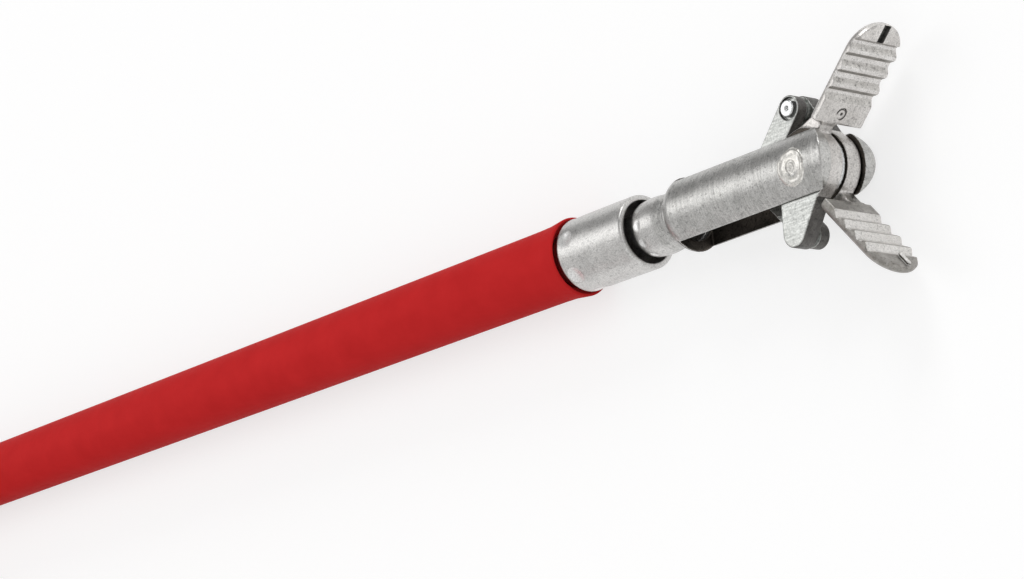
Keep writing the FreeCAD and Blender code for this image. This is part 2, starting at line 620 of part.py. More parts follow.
def spool_half(label, top):
    """Half of the finger spool, split level with the axis."""
    length, flange = s.spool_length, s.spool_flange
    height = s.spool_half_height
    body = rounded_block(0, length, s.waist_half_width, height - s.waist_drop, s.waist_round)
    for x in (0, length - flange):
        body = body.fuse(rounded_block(x, x + flange, s.spool_half_width, height, s.spool_round))
    tunnel = s.stem_half + s.slide_gap
    body = body.cut(rounded_block(-PAST, length + PAST, tunnel, tunnel, s.stem_round))
    body = body.cut(clamp_block(length / 2))
    for x, y in screw_spots():
        body = body.cut(disc(s.screw_radius, -height - PAST, height - s.screw_top_wall, x, y))
        body = body.cut(disc(s.screw_head_radius + 2 * s.fit_gap, -height - PAST,
                             s.screw_sink - height, x, y))
    low = 0 if top else -height - PAST
    half = Part.makeBox(length, 2 * s.spool_half_width, height + PAST, V(0, -s.spool_half_width, low))
    shaped(label, body.common(half), on_axis(spool_x() - length / 2))


def clamp_block(x):
    """The cross bar that grips the push tube, in the spool and through the stem's slot."""
    half = s.clamp_length / 2
    return block(x - half, x + half, s.clamp_half_width, s.slide_slot_height / 2 - s.clamp_gap)


def screw_spots():
    """The four screws, from the spool's rear corner on its axis."""
    middle = s.spool_length / 2
    return [(middle + end * s.screw_spacing / 2, side * s.screw_y) for end in (-1, 1) for side in (-1, 1)]


def spool():
    """The finger spool and the drive pieces that it carries."""
    spool_half("spool_top", True)
    spool_half("spool_bottom", False)
    seat = s.screw_sink - s.spool_half_height
    tip = s.spool_half_height - s.screw_top_wall - s.screw_end_gap
    screws = [disc(s.screw_radius - s.seat_gap, seat, tip, x, y).fuse(
        disc(s.screw_head_radius, seat - s.screw_head, seat, x, y)) for x, y in screw_spots()]
    shaped("spool_screws", Part.makeCompound(screws), on_axis(spool_x() - s.spool_length / 2))
    bar_shape = clamp_block(0).cut(rod(s.push_tube_radius, -s.clamp_length, s.clamp_length))
    bar_shape = bar_shape.cut(disc(s.set_screw_radius, s.push_tube_radius - s.fit_gap, s.slide_slot_height))
    shaped("wire_clamp", bar_shape, on_axis(spool_x()))
    screw = cylinder("clamp_screw", "set_screw_radius - seat_gap",
                     "slide_slot_height / 2 - clamp_gap - push_tube_radius")
    keep(screw, "clamp_screw", on_axis(spool_x(), s.push_tube_radius))
    push = cylinder("push_tube", "push_tube_radius",
                    "spool_behind_nose - cap_length + push_tube_reach + clamp_length / 2")
    keep(push, "push_tube", on_axis(spool_x() - s.clamp_length / 2), ALONG_X)


head()
sheath()
handle()
nose()
electrode()
spool()
doc.recompute()

problems = [o.Name for o in doc.Objects if "Invalid" in o.State or "Error" in o.State]
problems += [p.Label for p in PARTS if p.Shape.isNull() or not p.Shape.isValid()]
if problems:
    raise RuntimeError("failed: " + ", ".join(problems))

os.makedirs("parts", exist_ok=True)
for part in PARTS:
    part.Shape.exportStep("parts/%s.step" % part.Label)
box = Part.makeCompound([p.Shape for p in PARTS]).BoundBox
print(len(PARTS), "parts; box", box)
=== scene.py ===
import itertools
import json
import math

import bpy
import numpy as np
from mathutils import Matrix, Vector


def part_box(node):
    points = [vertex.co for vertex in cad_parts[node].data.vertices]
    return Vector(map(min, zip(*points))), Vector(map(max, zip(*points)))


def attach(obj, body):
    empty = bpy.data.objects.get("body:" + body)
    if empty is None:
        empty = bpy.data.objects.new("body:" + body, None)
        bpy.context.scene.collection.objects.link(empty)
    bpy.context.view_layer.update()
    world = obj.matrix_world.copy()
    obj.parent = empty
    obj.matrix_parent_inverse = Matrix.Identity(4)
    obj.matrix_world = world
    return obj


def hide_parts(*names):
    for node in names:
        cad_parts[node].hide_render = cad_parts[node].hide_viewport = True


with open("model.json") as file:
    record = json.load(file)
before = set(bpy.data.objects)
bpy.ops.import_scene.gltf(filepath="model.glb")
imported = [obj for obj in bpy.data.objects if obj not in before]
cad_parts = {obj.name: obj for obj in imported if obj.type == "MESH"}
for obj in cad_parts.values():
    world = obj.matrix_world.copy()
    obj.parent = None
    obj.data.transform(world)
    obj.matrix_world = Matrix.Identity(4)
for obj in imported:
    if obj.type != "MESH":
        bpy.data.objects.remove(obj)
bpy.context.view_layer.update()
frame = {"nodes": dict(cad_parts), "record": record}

# An endoscopic coagulation grasper. Shapes are worked out in millimetres, in a frame of their own,
# and become metres when their mesh is made. The head's frame has its origin on the jaw pivot.
MM = 0.001


def middle(node):
    """The centre of a node's box, in metres."""
    low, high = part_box(node)
    return (Vector(low) + Vector(high)) / 2


PIVOT = middle("pivot_pin")
HANDLE_Z = middle("push_tube").z
UPPER_OPEN = math.radians(44.2)
LOWER_OPEN = math.radians(51.7)


def new_object(name, data):
    item = bpy.data.objects.new(name, data)
    bpy.context.collection.objects.link(item)
    return item


# camera: its place from the pivot and its axes, fitted to the photograph
CAMERA_FROM_PIVOT = Vector((52.0, -21.79, 59.75)) * MM
CAMERA_BACK = Vector((0.718, -0.236, 0.654))
CAMERA_UP = Vector((0.243, 0.967, 0.083))
PHOTO_WIDTH = 1024
FOCAL_PIXELS = 2821.8
SENSOR = 36.0
CLIP = (MM, 10.0)


def camera():
    data = bpy.data.cameras.new("photo_camera")
    data.sensor_width = SENSOR
    data.lens = FOCAL_PIXELS * SENSOR / PHOTO_WIDTH
    data.clip_start, data.clip_end = CLIP
    item = new_object("photo_camera", data)
    back = CAMERA_BACK.normalized()
    right = CAMERA_UP.cross(back).normalized()
    up = back.cross(right)
    turn = Matrix((right, up, back)).transposed().to_4x4()
    item.matrix_world = Matrix.Translation(PIVOT + CAMERA_FROM_PIVOT) @ turn
    bpy.context.scene.camera = item


# fields: negative inside, near a distance outside, each on arrays of x, y and z


def both(a, b, r=0.0):
    """Where both fields are solid, with the edge between them rounded."""
    if not r:
        return np.maximum(a, b)
    a, b = a + r, b + r
    return np.minimum(np.maximum(a, b), 0) + np.hypot(np.maximum(a, 0), np.maximum(b, 0)) - r


def either(a, b, r=0.0):
    """Where either field is solid, with a fillet between them."""
    return -both(-a, -b, r)


def less(a, b, r=0.0):
    """The first field without the second, with the rim rounded."""
    return both(a, -b, r)


def span(x, low, high):
    return np.maximum(low - x, x - high)


def block(x, y, z, half, r=0.0):
    """A box about the origin with rounded edges."""
    qx, qy, qz = (np.abs(v) - h + r for v, h in zip((x, y, z), half))
    out = np.sqrt(np.maximum(qx, 0) ** 2 + np.maximum(qy, 0) ** 2 + np.maximum(qz, 0) ** 2)
    return out + np.minimum(np.maximum(np.maximum(qx, qy), qz), 0) - r


def taper(x, y, reach, r1, r2):
    """A flat bar from a circle at the origin to a smaller circle at reach along X."""
    y = np.abs(y)
    b = (r1 - r2) / reach
    a = math.sqrt(1 - b * b)
    k = a * x - b * y
    side = a * y + b * x - r1
    return np.where(k < 0, np.hypot(x, y) - r1, np.where(k > a * reach, np.hypot(x - reach, y) - r2, side))


def turned_by(x, y, angle):
    """The same points in a frame that is turned by an angle about Z."""
    c, s = math.cos(angle), math.sin(angle)
    return c * x + s * y, c * y - s * x


CORNERS = np.array(list(itertools.product((0, 1), repeat=3)))
EDGES = [(a, b) for a in range(8) for b in range(a + 1, 8) if bin(a ^ b).count("1") == 1]
SETTLE_ROUNDS = 4
PROBES_PER_STEP = 10
LEAST_STEEPNESS = 0.1
MOST_MOVE = 0.5
TINY = 1e-12


def settle(field, points, step):
    """Move points onto the surface, down the field's slope."""
    probe = step / PROBES_PER_STEP
    for _ in range(SETTLE_ROUNDS):
        slope = [(field(*(points + d).T) - field(*(points - d).T)) / (2 * probe) for d in np.eye(3) * probe]
        slope = np.stack(slope, axis=-1)
        steep = np.maximum((slope ** 2).sum(axis=-1), LEAST_STEEPNESS)
        move = slope * (field(*points.T) / steep)[:, None]
        size = np.maximum(np.linalg.norm(move, axis=-1), TINY)
        points = points - move * np.minimum(1, MOST_MOVE * step / size)[:, None]
    return points


def surface(field, low, high, step):
    """Points and four-sided faces of the closed surface where the field is zero."""
    count = [int(math.ceil((b - a) / step)) + 3 for a, b in zip(low, high)]
    start = np.array(low, dtype=float) - step
    axes = [start[d] + step * np.arange(count[d]) for d in range(3)]
    value = np.broadcast_to(field(*np.meshgrid(*axes, indexing="ij", sparse=True)), count)
    solid = value < 0
    filled = np.zeros([n - 1 for n in count], dtype=np.int8)
    for i, j, k in CORNERS:
        filled += solid[i:count[0] - 1 + i, j:count[1] - 1 + j, k:count[2] - 1 + k]
    cells = np.argwhere((filled > 0) & (filled < 8))
    number = np.full(filled.shape, -1)
    number[tuple(cells.T)] = np.arange(len(cells))
    total, hits = np.zeros((len(cells), 3)), np.zeros(len(cells))
    for a, b in EDGES:
        va, vb = (value[tuple((cells + CORNERS[c]).T)] for c in (a, b))
        cross = (va < 0) != (vb < 0)
        share = np.where(cross, va / np.where(va == vb, 1, va - vb), 0)
        spot = CORNERS[a] + share[:, None] * (CORNERS[b] - CORNERS[a])
        total += np.where(cross[:, None], spot, 0)
        hits += cross
    points = settle(field, start + (cells + total / hits[:, None]) * step, step)
    faces = []
    for d in range(3):
        e, f = (d + 1) % 3, (d + 2) % 3
        near = solid.take(range(count[d] - 1), axis=d)
        far = solid.take(range(1, count[d]), axis=d)
        edge = np.argwhere(near != far)
        ring = []
        for de, df in ((1, 1), (0, 1), (0, 0), (1, 0)):
            back = np.zeros(3, dtype=int)
            back[e], back[f] = de, df
            ring.append(number[tuple((edge - back).T)])
        quads = np.stack(ring, axis=-1)
        flip = far[tuple(edge.T)]
        quads[flip] = quads[flip][:, ::-1]
        faces.append(quads)
    return points, np.concatenate(faces)


def mesh_piece(name, points, faces, place):
    """A smooth mesh object from points in millimetres, set in its place in the frame."""
    points = points @ np.array(place.to_3x3()).T * MM + np.array(place.translation)
    mesh = bpy.data.meshes.new(name + "_look")
    mesh.vertices.add(len(points))
    mesh.vertices.foreach_set("co", points.ravel())
    mesh.loops.add(faces.size)
    mesh.loops.foreach_set("vertex_index", faces.ravel().astype(np.int32))
    mesh.polygons.add(len(faces))
    mesh.polygons.foreach_set("loop_start", np.arange(0, faces.size, 4, dtype=np.int32))
    mesh.polygons.foreach_set("use_smooth", np.ones(len(faces), dtype=bool))
    mesh.update()
    mesh.validate()
    return new_object(name + "_look", mesh)


# the material number of each face, by piece, for pieces of several materials
ZONES = {}


def dress(item, body, slot, material, *nodes, extra=()):
    """Say what a piece rides on, what it stands for and what it is made of."""
    item.data.materials.clear()
    for each in (material, *extra):
        item.data.materials.append(each)
    if item.name in ZONES:
        item.data.polygons.foreach_set("material_index", ZONES[item.name])
    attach(item, body)
    if nodes:
        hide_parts(*nodes)


HEAD = Matrix.Translation(PIVOT)
HANDLE = Matrix.Translation((0, 0, HANDLE_Z))
COARSE = 1.0
SHARP = math.radians(40)


def carved(name, field, low, high, step, place=HEAD, zones=None):
    """A piece from its field. Zones give each face a material's number from its centre and normal."""
    points, faces = surface(field, low, high, step * COARSE)
    item = mesh_piece(name, points, faces, place)
    if zones:
        corners = points[faces]
        normal = np.cross(corners[:, 2] - corners[:, 0], corners[:, 3] - corners[:, 1])
        normal /= np.maximum(np.linalg.norm(normal, axis=-1), TINY)[:, None]
        ZONES[item.name] = zones(corners.mean(axis=1), normal).astype(np.int32)
    return item


def rounded(outline, per_arc=6):
    """A closed outline of (along, radius, round) corners as plain points, its corners as arcs."""
    points = []
    for k, (x, y, r) in enumerate(outline):
        before, after = Vector(outline[k - 1][:2]), Vector(outline[(k + 1) % len(outline)][:2])
        here = Vector((x, y))
        if not r:
            points.append(here)
            continue
        a, b = (before - here).normalized(), (after - here).normalized()
        half = a.angle(b) / 2
        cut = r / math.tan(half)
        centre = here + (a + b).normalized() * (r / math.sin(half))
        first, last = here + a * cut - centre, here + b * cut - centre
        sweep = first.angle_signed(last)
        points += [centre + Matrix.Rotation(-sweep * n / per_arc, 2) @ first for n in range(per_arc + 1)]
    return points


def lathe(name, outline, place, segments=96):
    """A turned piece about its own X axis from a closed outline of (along, radius, round)."""
    profile = np.array([tuple(p) for p in rounded(outline)])
    angles = np.linspace(0, 2 * math.pi, segments, endpoint=False)
    rings = len(profile)
    points = np.stack([
        np.repeat(profile[:, 0], segments),
        np.outer(profile[:, 1], np.cos(angles)).ravel(),
        np.outer(profile[:, 1], np.sin(angles)).ravel()], axis=-1)
    k, n = np.divmod(np.arange(rings * segments), segments)
    j, m = (k + 1) % rings, (n + 1) % segments
    faces = np.stack([k * segments + n, j * segments + n, j * segments + m, k * segments + m], axis=-1)
    item = mesh_piece(name, points, faces, place)
    item.data.set_sharp_from_angle(angle=SHARP)
    return item


# materials


# noise turns from the first colour to the second between these
CLOUD_SPAN = (0.3, 0.7)
GRAIN_SPAN = (0.35, 0.65)
PIT_SPAN = (0.34, 0.44)
# painted shade: ambient occlusion turns from the darkest tone to white between these
OPEN_SPAN = (0.25, 0.85)
OPEN_SAMPLES = 8
GRAIN_TONE = 0.72
PIT_SIZE = 2.5
STEEL_CHANGE = 0.06
PLASTIC_CHANGE = 0.05
# the colour sockets of a Mix node
MIX_A, MIX_B, MIX_RESULT = 6, 7, 2
WHITE_TONE = (1, 1, 1)


def add(tree, kind, inputs=(), **settings):
    """A node with its settings and inputs. An input is a socket to link or a value to set."""
    node = tree.nodes.new(kind)
    for key, value in settings.items():
        setattr(node, key, value)
    for key, value in dict(inputs).items():
        if isinstance(value, bpy.types.NodeSocket):
            tree.links.new(value, node.inputs[key])
        else:
            node.inputs[key].default_value = value
    return node


def begin(name):
    material = bpy.data.materials.new(name)
    material.use_nodes = True
    tree = material.node_tree
    place = add(tree, "ShaderNodeTexCoord").outputs["Object"]
    return material, tree, tree.nodes["Principled BSDF"], place


def noise(tree, place, size, detail=3.0, stretch=None, roughness=0.6):
    """Noise whose cells are about size millimetres, stretched along each axis if asked."""
    if stretch:
        place = add(tree, "ShaderNodeMapping", {"Vector": place, "Scale": stretch}).outputs["Vector"]
    return add(tree, "ShaderNodeTexNoise", {
        "Vector": place, "Scale": 1 / (size * MM), "Detail": detail, "Roughness": roughness}).outputs["Fac"]


def grey(tone):
    return (tone, tone, tone)


def ramp(tree, factor, limits, dark, light):
    """A factor between two limits as a blend of two colours."""
    low, high = limits
    share = add(tree, "ShaderNodeMapRange", {"Value": factor, "From Min": low, "From Max": high})
    mix = add(tree, "ShaderNodeMix", {"Factor": share.outputs["Result"]}, data_type="RGBA")
    mix.inputs[MIX_A].default_value = (*dark, 1)
    mix.inputs[MIX_B].default_value = (*light, 1)
    return mix.outputs[MIX_RESULT]


def times(tree, first, second):
    mix = add(tree, "ShaderNodeMix", {"Factor": 1.0}, data_type="RGBA", blend_type="MULTIPLY")
    tree.links.new(first, mix.inputs[MIX_A])
    tree.links.new(second, mix.inputs[MIX_B])
    return mix.outputs[MIX_RESULT]


def relief(tree, height, depth, under=None):
    """Bump of a depth in millimetres, laid over another bump if given."""
    inputs = {"Height": height, "Distance": depth * MM, "Strength": 1.0}
    if under:
        inputs["Normal"] = under
    return add(tree, "ShaderNodeBump", inputs).outputs["Normal"]


def painted_crease_shade(tree, colour, reach, depth):
    """Painted shade: the colour darkened where the piece's own shape closes in on itself, by ambient
    occlusion.
    """
    open_sky = add(tree, "ShaderNodeAmbientOcclusion", {"Distance": reach * MM},
                   samples=OPEN_SAMPLES, only_local=True)
    return times(tree, colour, ramp(tree, open_sky.outputs["AO"], OPEN_SPAN, grey(depth), WHITE_TONE))


def vary_roughness(tree, shade, factor, rough, change):
    """Roughness that drifts to either side of its middle with a noise."""
    low, high = CLOUD_SPAN
    spread = add(tree, "ShaderNodeMapRange", {
        "Value": factor, "From Min": low, "From Max": high,
        "To Min": rough - change, "To Max": rough + change})
    tree.links.new(spread.outputs["Result"], shade.inputs["Roughness"])


def steel(name, dark, light, rough, cell=0.6, speck=0.05, speck_depth=0.004, pits=0.0,
          streak=None, streak_depth=0.0, streak_tone=0.8, hollow=0.3, crease_shade_tone=0.15, metal=1.0):
    """Steel with cloudy tone, a fine grain, dark pits, painted shade in its own hollows and, where it is
    brushed, fine streaks.
    """
    material, tree, shade, place = begin(name)
    cloud = noise(tree, place, cell, 4.0)
    colour = ramp(tree, cloud, CLOUD_SPAN, dark, light)
    grain = noise(tree, place, speck, 2.0)
    colour = times(tree, colour, ramp(tree, grain, GRAIN_SPAN, grey(GRAIN_TONE), WHITE_TONE))
    if pits:
        pit = noise(tree, place, speck * PIT_SIZE, 2.0, roughness=0.8)
        colour = times(tree, colour, ramp(tree, pit, PIT_SPAN, grey(1 - pits), WHITE_TONE))
    normal = relief(tree, grain, speck_depth)
    if streak:
        lines = noise(tree, place, 1.0, 2.0, stretch=streak, roughness=0.5)
        colour = times(tree, colour, ramp(tree, lines, GRAIN_SPAN, grey(streak_tone), WHITE_TONE))
        normal = relief(tree, lines, streak_depth, normal)
    # painted shade where the piece's own shape closes in, within hollow millimetres
    if hollow:
        colour = painted_crease_shade(tree, colour, hollow, crease_shade_tone)
    tree.links.new(colour, shade.inputs["Base Color"])
    tree.links.new(normal, shade.inputs["Normal"])
    vary_roughness(tree, shade, cloud, rough, STEEL_CHANGE)
    shade.inputs["Metallic"].default_value = metal
    return material


def plastic(name, dark, light, rough, cell=8.0, grain=0.25, depth=0.01, sheen=0.5):
    """Moulded plastic or rubber: a faint drift of tone over a fine texture."""
    material, tree, shade, place = begin(name)
    colour = ramp(tree, noise(tree, place, cell, 3.0), CLOUD_SPAN, dark, light)
    texture = noise(tree, place, grain, 2.0)
    tree.links.new(colour, shade.inputs["Base Color"])
    tree.links.new(relief(tree, texture, depth), shade.inputs["Normal"])
    vary_roughness(tree, shade, texture, rough, PLASTIC_CHANGE)
    shade.inputs["Specular IOR Level"].default_value = sheen
    return material


# streaks that run round the head's axis, and along it
AROUND = (24.0, 1.8, 1.8)
ALONG = (2.0, 17.0, 2.0)
JAW = steel("jaw_steel", (0.64, 0.615, 0.59), (0.85, 0.825, 0.80), 0.36, speck_depth=0.006,
            pits=0.35, hollow=0.16)
# painted highlight: a lighter copy of the jaw steel for the upper jaw's teeth, with a rougher, finer grain
HIGHLIT_TOOTH = steel("highlit_tooth_steel", (0.76, 0.735, 0.71), (0.94, 0.92, 0.90), 0.45, speck=0.035, speck_depth=0.010,
              pits=0.3, hollow=0.14, crease_shade_tone=0.08)
# painted shade: a darker copy of the jaw steel, with a coarser grain and more pits, for the upper teeth's
# slopes that face the tip
SHADED_FLANK = steel("shaded_flank_steel", (0.60, 0.58, 0.555), (0.84, 0.82, 0.79), 0.48, cell=0.2, speck=0.04,
              speck_depth=0.016, pits=0.45, hollow=0.12)
# painted shade: a dark copy of the jaw steel for the jaws' faces in shade
SHADED_STEEL = steel("shaded_steel", (0.29, 0.275, 0.25), (0.50, 0.48, 0.455), 0.42, cell=0.25, speck=0.04,
             speck_depth=0.014, pits=0.45, hollow=0.14)
LIT = steel("lit_tooth_steel", (0.76, 0.74, 0.71), (0.93, 0.91, 0.885), 0.45, speck=0.035, speck_depth=0.014,
            pits=0.3, hollow=0.1, crease_shade_tone=0.1)
BRIGHT = steel("polished_steel", (0.70, 0.71, 0.72), (0.84, 0.85, 0.84), 0.24,
               speck_depth=0.001, hollow=0.12)
BRUSHED = steel("brushed_steel", (0.58, 0.575, 0.555), (0.76, 0.75, 0.73), 0.32, speck=0.04,
                speck_depth=0.005, pits=0.35, streak=AROUND, streak_depth=0.006, streak_tone=0.78,
                hollow=1.0, crease_shade_tone=0.05)
SATIN = steel("satin_steel", (0.64, 0.63, 0.615), (0.78, 0.77, 0.75), 0.34, speck=0.045, speck_depth=0.005,
              pits=0.25, hollow=1.0, crease_shade_tone=0.04)
# painted highlight: a near-white steel for the dimples of the collar and the ferrule
HIGHLIT_DENT = steel("highlit_dent_steel", (0.92, 0.915, 0.90), (1.0, 0.995, 0.98), 0.38, speck_depth=0.002,
             hollow=0.05, crease_shade_tone=0.3)
FACE_STEEL = steel("rolled_steel", (0.60, 0.61, 0.59), (0.74, 0.75, 0.72), 0.34,
                   speck_depth=0.003, pits=0.25, streak=ALONG, streak_depth=0.006, streak_tone=0.7,
                   hollow=0.12)
# painted shade: a near-black steel for cut edges, side walls and the tip's slot
SHADED_EDGE_STEEL = steel("shaded_edge_steel", (0.06, 0.056, 0.05), (0.20, 0.19, 0.18), 0.46, cell=0.3, speck=0.045,
                   speck_depth=0.014, pits=0.6, hollow=0.2, metal=0.3)
# painted shade: a near-black steel for the clevis slot's walls and the jaws' hub faces
SHADED_INNER = steel("shaded_inner_steel", (0.05, 0.045, 0.04), (0.16, 0.14, 0.12), 0.45, cell=0.8,
              pits=0.5, crease_shade_tone=0.2)
WELD = steel("weld_steel", (0.74, 0.72, 0.67), (0.95, 0.93, 0.89), 0.34, cell=0.16, speck=0.06,
             speck_depth=0.006, pits=0.3, hollow=0.16, crease_shade_tone=0.1)
BRASS = steel("brass", (0.60, 0.44, 0.20), (0.78, 0.60, 0.32), 0.30, cell=3.0, speck=0.2, crease_shade_tone=0.3)
RED = plastic("red_sheath", (0.56, 0.021, 0.022), (0.62, 0.025, 0.026), 0.55, cell=1.2, grain=0.06,
              depth=0.002, sheen=0.02)
WHITE = plastic("handle_plastic", (0.76, 0.76, 0.74), (0.81, 0.81, 0.79), 0.42)
PALE = plastic("spool_plastic", (0.34, 0.40, 0.46), (0.38, 0.44, 0.50), 0.42)
GREY = plastic("grey_plastic", (0.09, 0.09, 0.10), (0.12, 0.12, 0.13), 0.40)
RUBBER = plastic("soft_rubber", (0.045, 0.045, 0.047), (0.065, 0.065, 0.067), 0.6, depth=0.02)
FINISH = {
    "jaw_steel": JAW, "polished_steel": BRIGHT, "satin_steel": SATIN, "red_sheath": RED,
    "handle_plastic": WHITE, "spool_plastic": PALE, "grey_plastic": GREY, "soft_rubber": RUBBER,
    "brass": BRASS}


def finish_frame():
    """Every CAD node's own material slots get the material of the same name."""
    for part in frame["record"]["subparts"]:
        item = frame["nodes"][part["node"]]
        for slot in item.material_slots:
            slot.material = FINISH[part["material_slot"]]


# the sheath, on the same route as its solids: its own sizes in metres, its points in millimetres


SHEATH_RADIUS = 1.2 * MM
HANDLE_ROUTE = [
    (12.25, 0.0, 10.5), (16.8, 0.0, 10.5), (21.8, 1.6, 10.2), (26.1, 4.6, 9.6), (30.7, 7.2, 8.9),
    (35.7, 8.7, 8.3)]
COIL_CENTRE = (40.95, -5.2)
COIL_INNER = 14.2
COIL_OUTER = 21.4
COIL_PITCH = 2.4
COIL_COLUMNS = 4
COIL_HEIGHTS = (7.95, 5.7, 3.45, 1.2)
TURN_POINTS = 24
CURVE_ORDER = 3
CURVE_STEPS = 4
BEVEL_STEPS = 10
HEAD_END = [(53.0, 16.2, 1.3), (66.0, 16.2, 1.3), (80.0, 16.2, 1.3), (93.15, 16.2, 1.3)]


def coil_turns():
    """Radius and height at the start of each turn, from the handle's end of the coil outwards."""
    top, third, second, first = COIL_HEIGHTS
    steps = [COIL_INNER + k * COIL_PITCH for k in range(COIL_COLUMNS)]
    turns = [(COIL_INNER, top), (COIL_INNER + COIL_PITCH, top)]
    turns += [(r, third) for r in steps]
    turns += [(r, second) for r in reversed(steps)]
    turns += [(r, first) for r in steps]
    return turns


def sheath():
    """The red sheath from the handle's boot, round the put-away coil, to the head's own piece."""
    points = list(HANDLE_ROUTE)
    turns = coil_turns() + [(COIL_OUTER, COIL_HEIGHTS[-1])]
    corner = 1 / math.cos(math.pi / TURN_POINTS)
    for k in range(TURN_POINTS * (len(turns) - 1)):
        turn, share = divmod(k, TURN_POINTS)
        share /= TURN_POINTS
        (r0, z0), (r1, z1) = turns[turn], turns[turn + 1]
        late = max(0.0, 2 * share - 1)
        radius = (r0 + (r1 - r0) * late) * corner
        angle = math.pi / 2 - 2 * math.pi * share
        points.append((COIL_CENTRE[0] + radius * math.cos(angle),
                       COIL_CENTRE[1] + radius * math.sin(angle), z0 + (z1 - z0) * late))
    points.append((COIL_CENTRE[0], COIL_CENTRE[1] + COIL_OUTER, COIL_HEIGHTS[-1]))
    points += HEAD_END
    curve = bpy.data.curves.new("sheath", "CURVE")
    curve.dimensions = "3D"
    spline = curve.splines.new("NURBS")
    spline.points.add(len(points) - 1)
    for point, spot in zip(spline.points, points):
        point.co = (*(v * MM for v in spot), 1.0)
    spline.order_u = CURVE_ORDER
    spline.use_endpoint_u = True
    spline.resolution_u = CURVE_STEPS
    curve.bevel_depth = SHEATH_RADIUS
    curve.bevel_resolution = BEVEL_STEPS
    item = new_object("sheath", curve)
    dress(item, "root", "red_sheath", RED, "sheath_handle_run", "sheath_coil", "sheath_straight")


# studio: lamps as (name, place, size, power), all aimed at one spot


FLOOR_SIZE = 6.0
FLOOR_CLOUD = 400.0
FLOOR_TONES = (0.42, 0.43)
FLOOR_GLOW = 0.645
WORLD_SPAN = (-0.3, 0.9)
WORLD_TONES = (0.74, 0.28)
LAMP_AIM = Vector((0.05, 0, 0))
LAMPS = [
    ("key", (-0.55, 0.27, 0.72), 0.50, 1.1),
    ("top", (0.25, 0.85, 0.40), 0.40, 2.4),
    ("fill", (0.35, -0.75, 0.45), 0.40, 0.35),
    ("front", (0.85, 0.25, 0.45), 0.35, 0.5),
]


def studio():
    """A grey floor that camera, glossy and transmission rays see as white, and soft lamps."""
    bpy.ops.mesh.primitive_plane_add(size=FLOOR_SIZE)
    floor = bpy.context.object
    floor.name = "floor"
    material, tree, shade, place = begin("floor")
    colour = ramp(tree, noise(tree, place, FLOOR_CLOUD), CLOUD_SPAN, *map(grey, FLOOR_TONES))
    tree.links.new(colour, shade.inputs["Base Color"])
    shade.inputs["Roughness"].default_value = 1.0
    shade.inputs["Specular IOR Level"].default_value = 0.0
    path = add(tree, "ShaderNodeLightPath")
    seen = path.outputs["Is Camera Ray"]
    for ray in ("Is Glossy Ray", "Is Transmission Ray"):
        seen = add(tree, "ShaderNodeMath", {0: seen, 1: path.outputs[ray]}, operation="MAXIMUM").outputs[0]
    lift = add(tree, "ShaderNodeMath", {0: seen, 1: FLOOR_GLOW}, operation="MULTIPLY")
    tree.links.new(lift.outputs[0], shade.inputs["Emission Strength"])
    shade.inputs["Emission Color"].default_value = (1, 1, 1, 1)
    floor.data.materials.append(material)
    world = bpy.data.worlds.new("studio")
    bpy.context.scene.world = world
    world.use_nodes = True
    tree = world.node_tree
    direction = add(tree, "ShaderNodeTexCoord").outputs["Generated"]
    side = add(tree, "ShaderNodeSeparateXYZ", {"Vector": direction}).outputs["Y"]
    colour = ramp(tree, side, WORLD_SPAN, *map(grey, WORLD_TONES))
    tree.links.new(colour, tree.nodes["Background"].inputs["Color"])
    for name, spot, size, power in LAMPS:
        lamp = bpy.data.lights.new(name, "AREA")
        lamp.shape = "SQUARE"
        lamp.size = size
        lamp.energy = power
        item = new_object(name, lamp)
        item.location = spot
        aim = Vector(spot) - LAMP_AIM
        item.rotation_euler = aim.to_track_quat("Z", "Y").to_euler()


# the head, in the pivot's own frame: +X towards the tips, +Z along the pivot


HEAD_RADIUS = 1.19
HEAD_BOX = 1.25
ARM_END = 1.2
ARM_EDGE = 0.05
SLOT_HALF = 0.72
SLOT_END = -5.15
SLOT_CORNER = 0.05
SLOT_RIM = 0.035
YOKE_POCKET = 0.83
POCKET_END = -5.41
POCKET_LAP = 0.02
SHOULDER = -5.3
SHOULDER_ROUND = 0.2
NECK_RADIUS = 0.83
NECK_END = -6.1
NECK_FILLET = 0.05
CONE = 0.32
CONE_DROP = 0.04
BARREL_RADIUS = 0.92
BARREL_MIDDLE = -6.45
BARREL_CURVE = 0.2
LAP = 0.04
BORE = 0.36
PIN_RADIUS = 0.3
CLEVIS_STEP = 0.03
# how far the slot's walls reach past its half width, below the skin and behind its end
WALL_MARGINS = (0.02, 0.03, 0.1)
WELD_RING = 0.44
WELD_TUBE = 0.085
WELD_SINK = 0.045
WELD_SQUASH = 1.3
WELD_STRETCH = 1.17
WELD_DROP = -0.11
WELD_END = 0.6
WELD_FILLET = 0.05
WELD_STEP = 0.014
WELD_LOW = (-0.6, -0.78, -1.3)
WELD_HIGH = (0.6, 0.78, 1.3)
# the ring's waves as (height, count, phase), and its swell as a height and two such waves
WELD_WAVES = ((0.018, 2, 0.6), (0.008, 5, 0.0))
WELD_SWELL = 0.012
WELD_SWELL_WAVES = ((7, 1.0), (3, 0.0))
# the hollow inside the ring, and the raised dot and ring in it as (height, distance out, width)
BOWL_DEPTH = 0.03
BOWL_MARKS = ((0.05, 0.0, 0.045), (0.025, 0.14, 0.04))
PIN_SINK = 0.03
PIN_FILLET = 0.02


def barrel(x, y, z):
    """Distance from the bulged barrel that the neck and the collar share."""
    return np.hypot(y, z) - BARREL_RADIUS + BARREL_CURVE * (x - BARREL_MIDDLE) ** 2


def tube_skin(y, z):
    """Distance from the clevis's outer surface."""
    return np.hypot(y, z) - HEAD_RADIUS


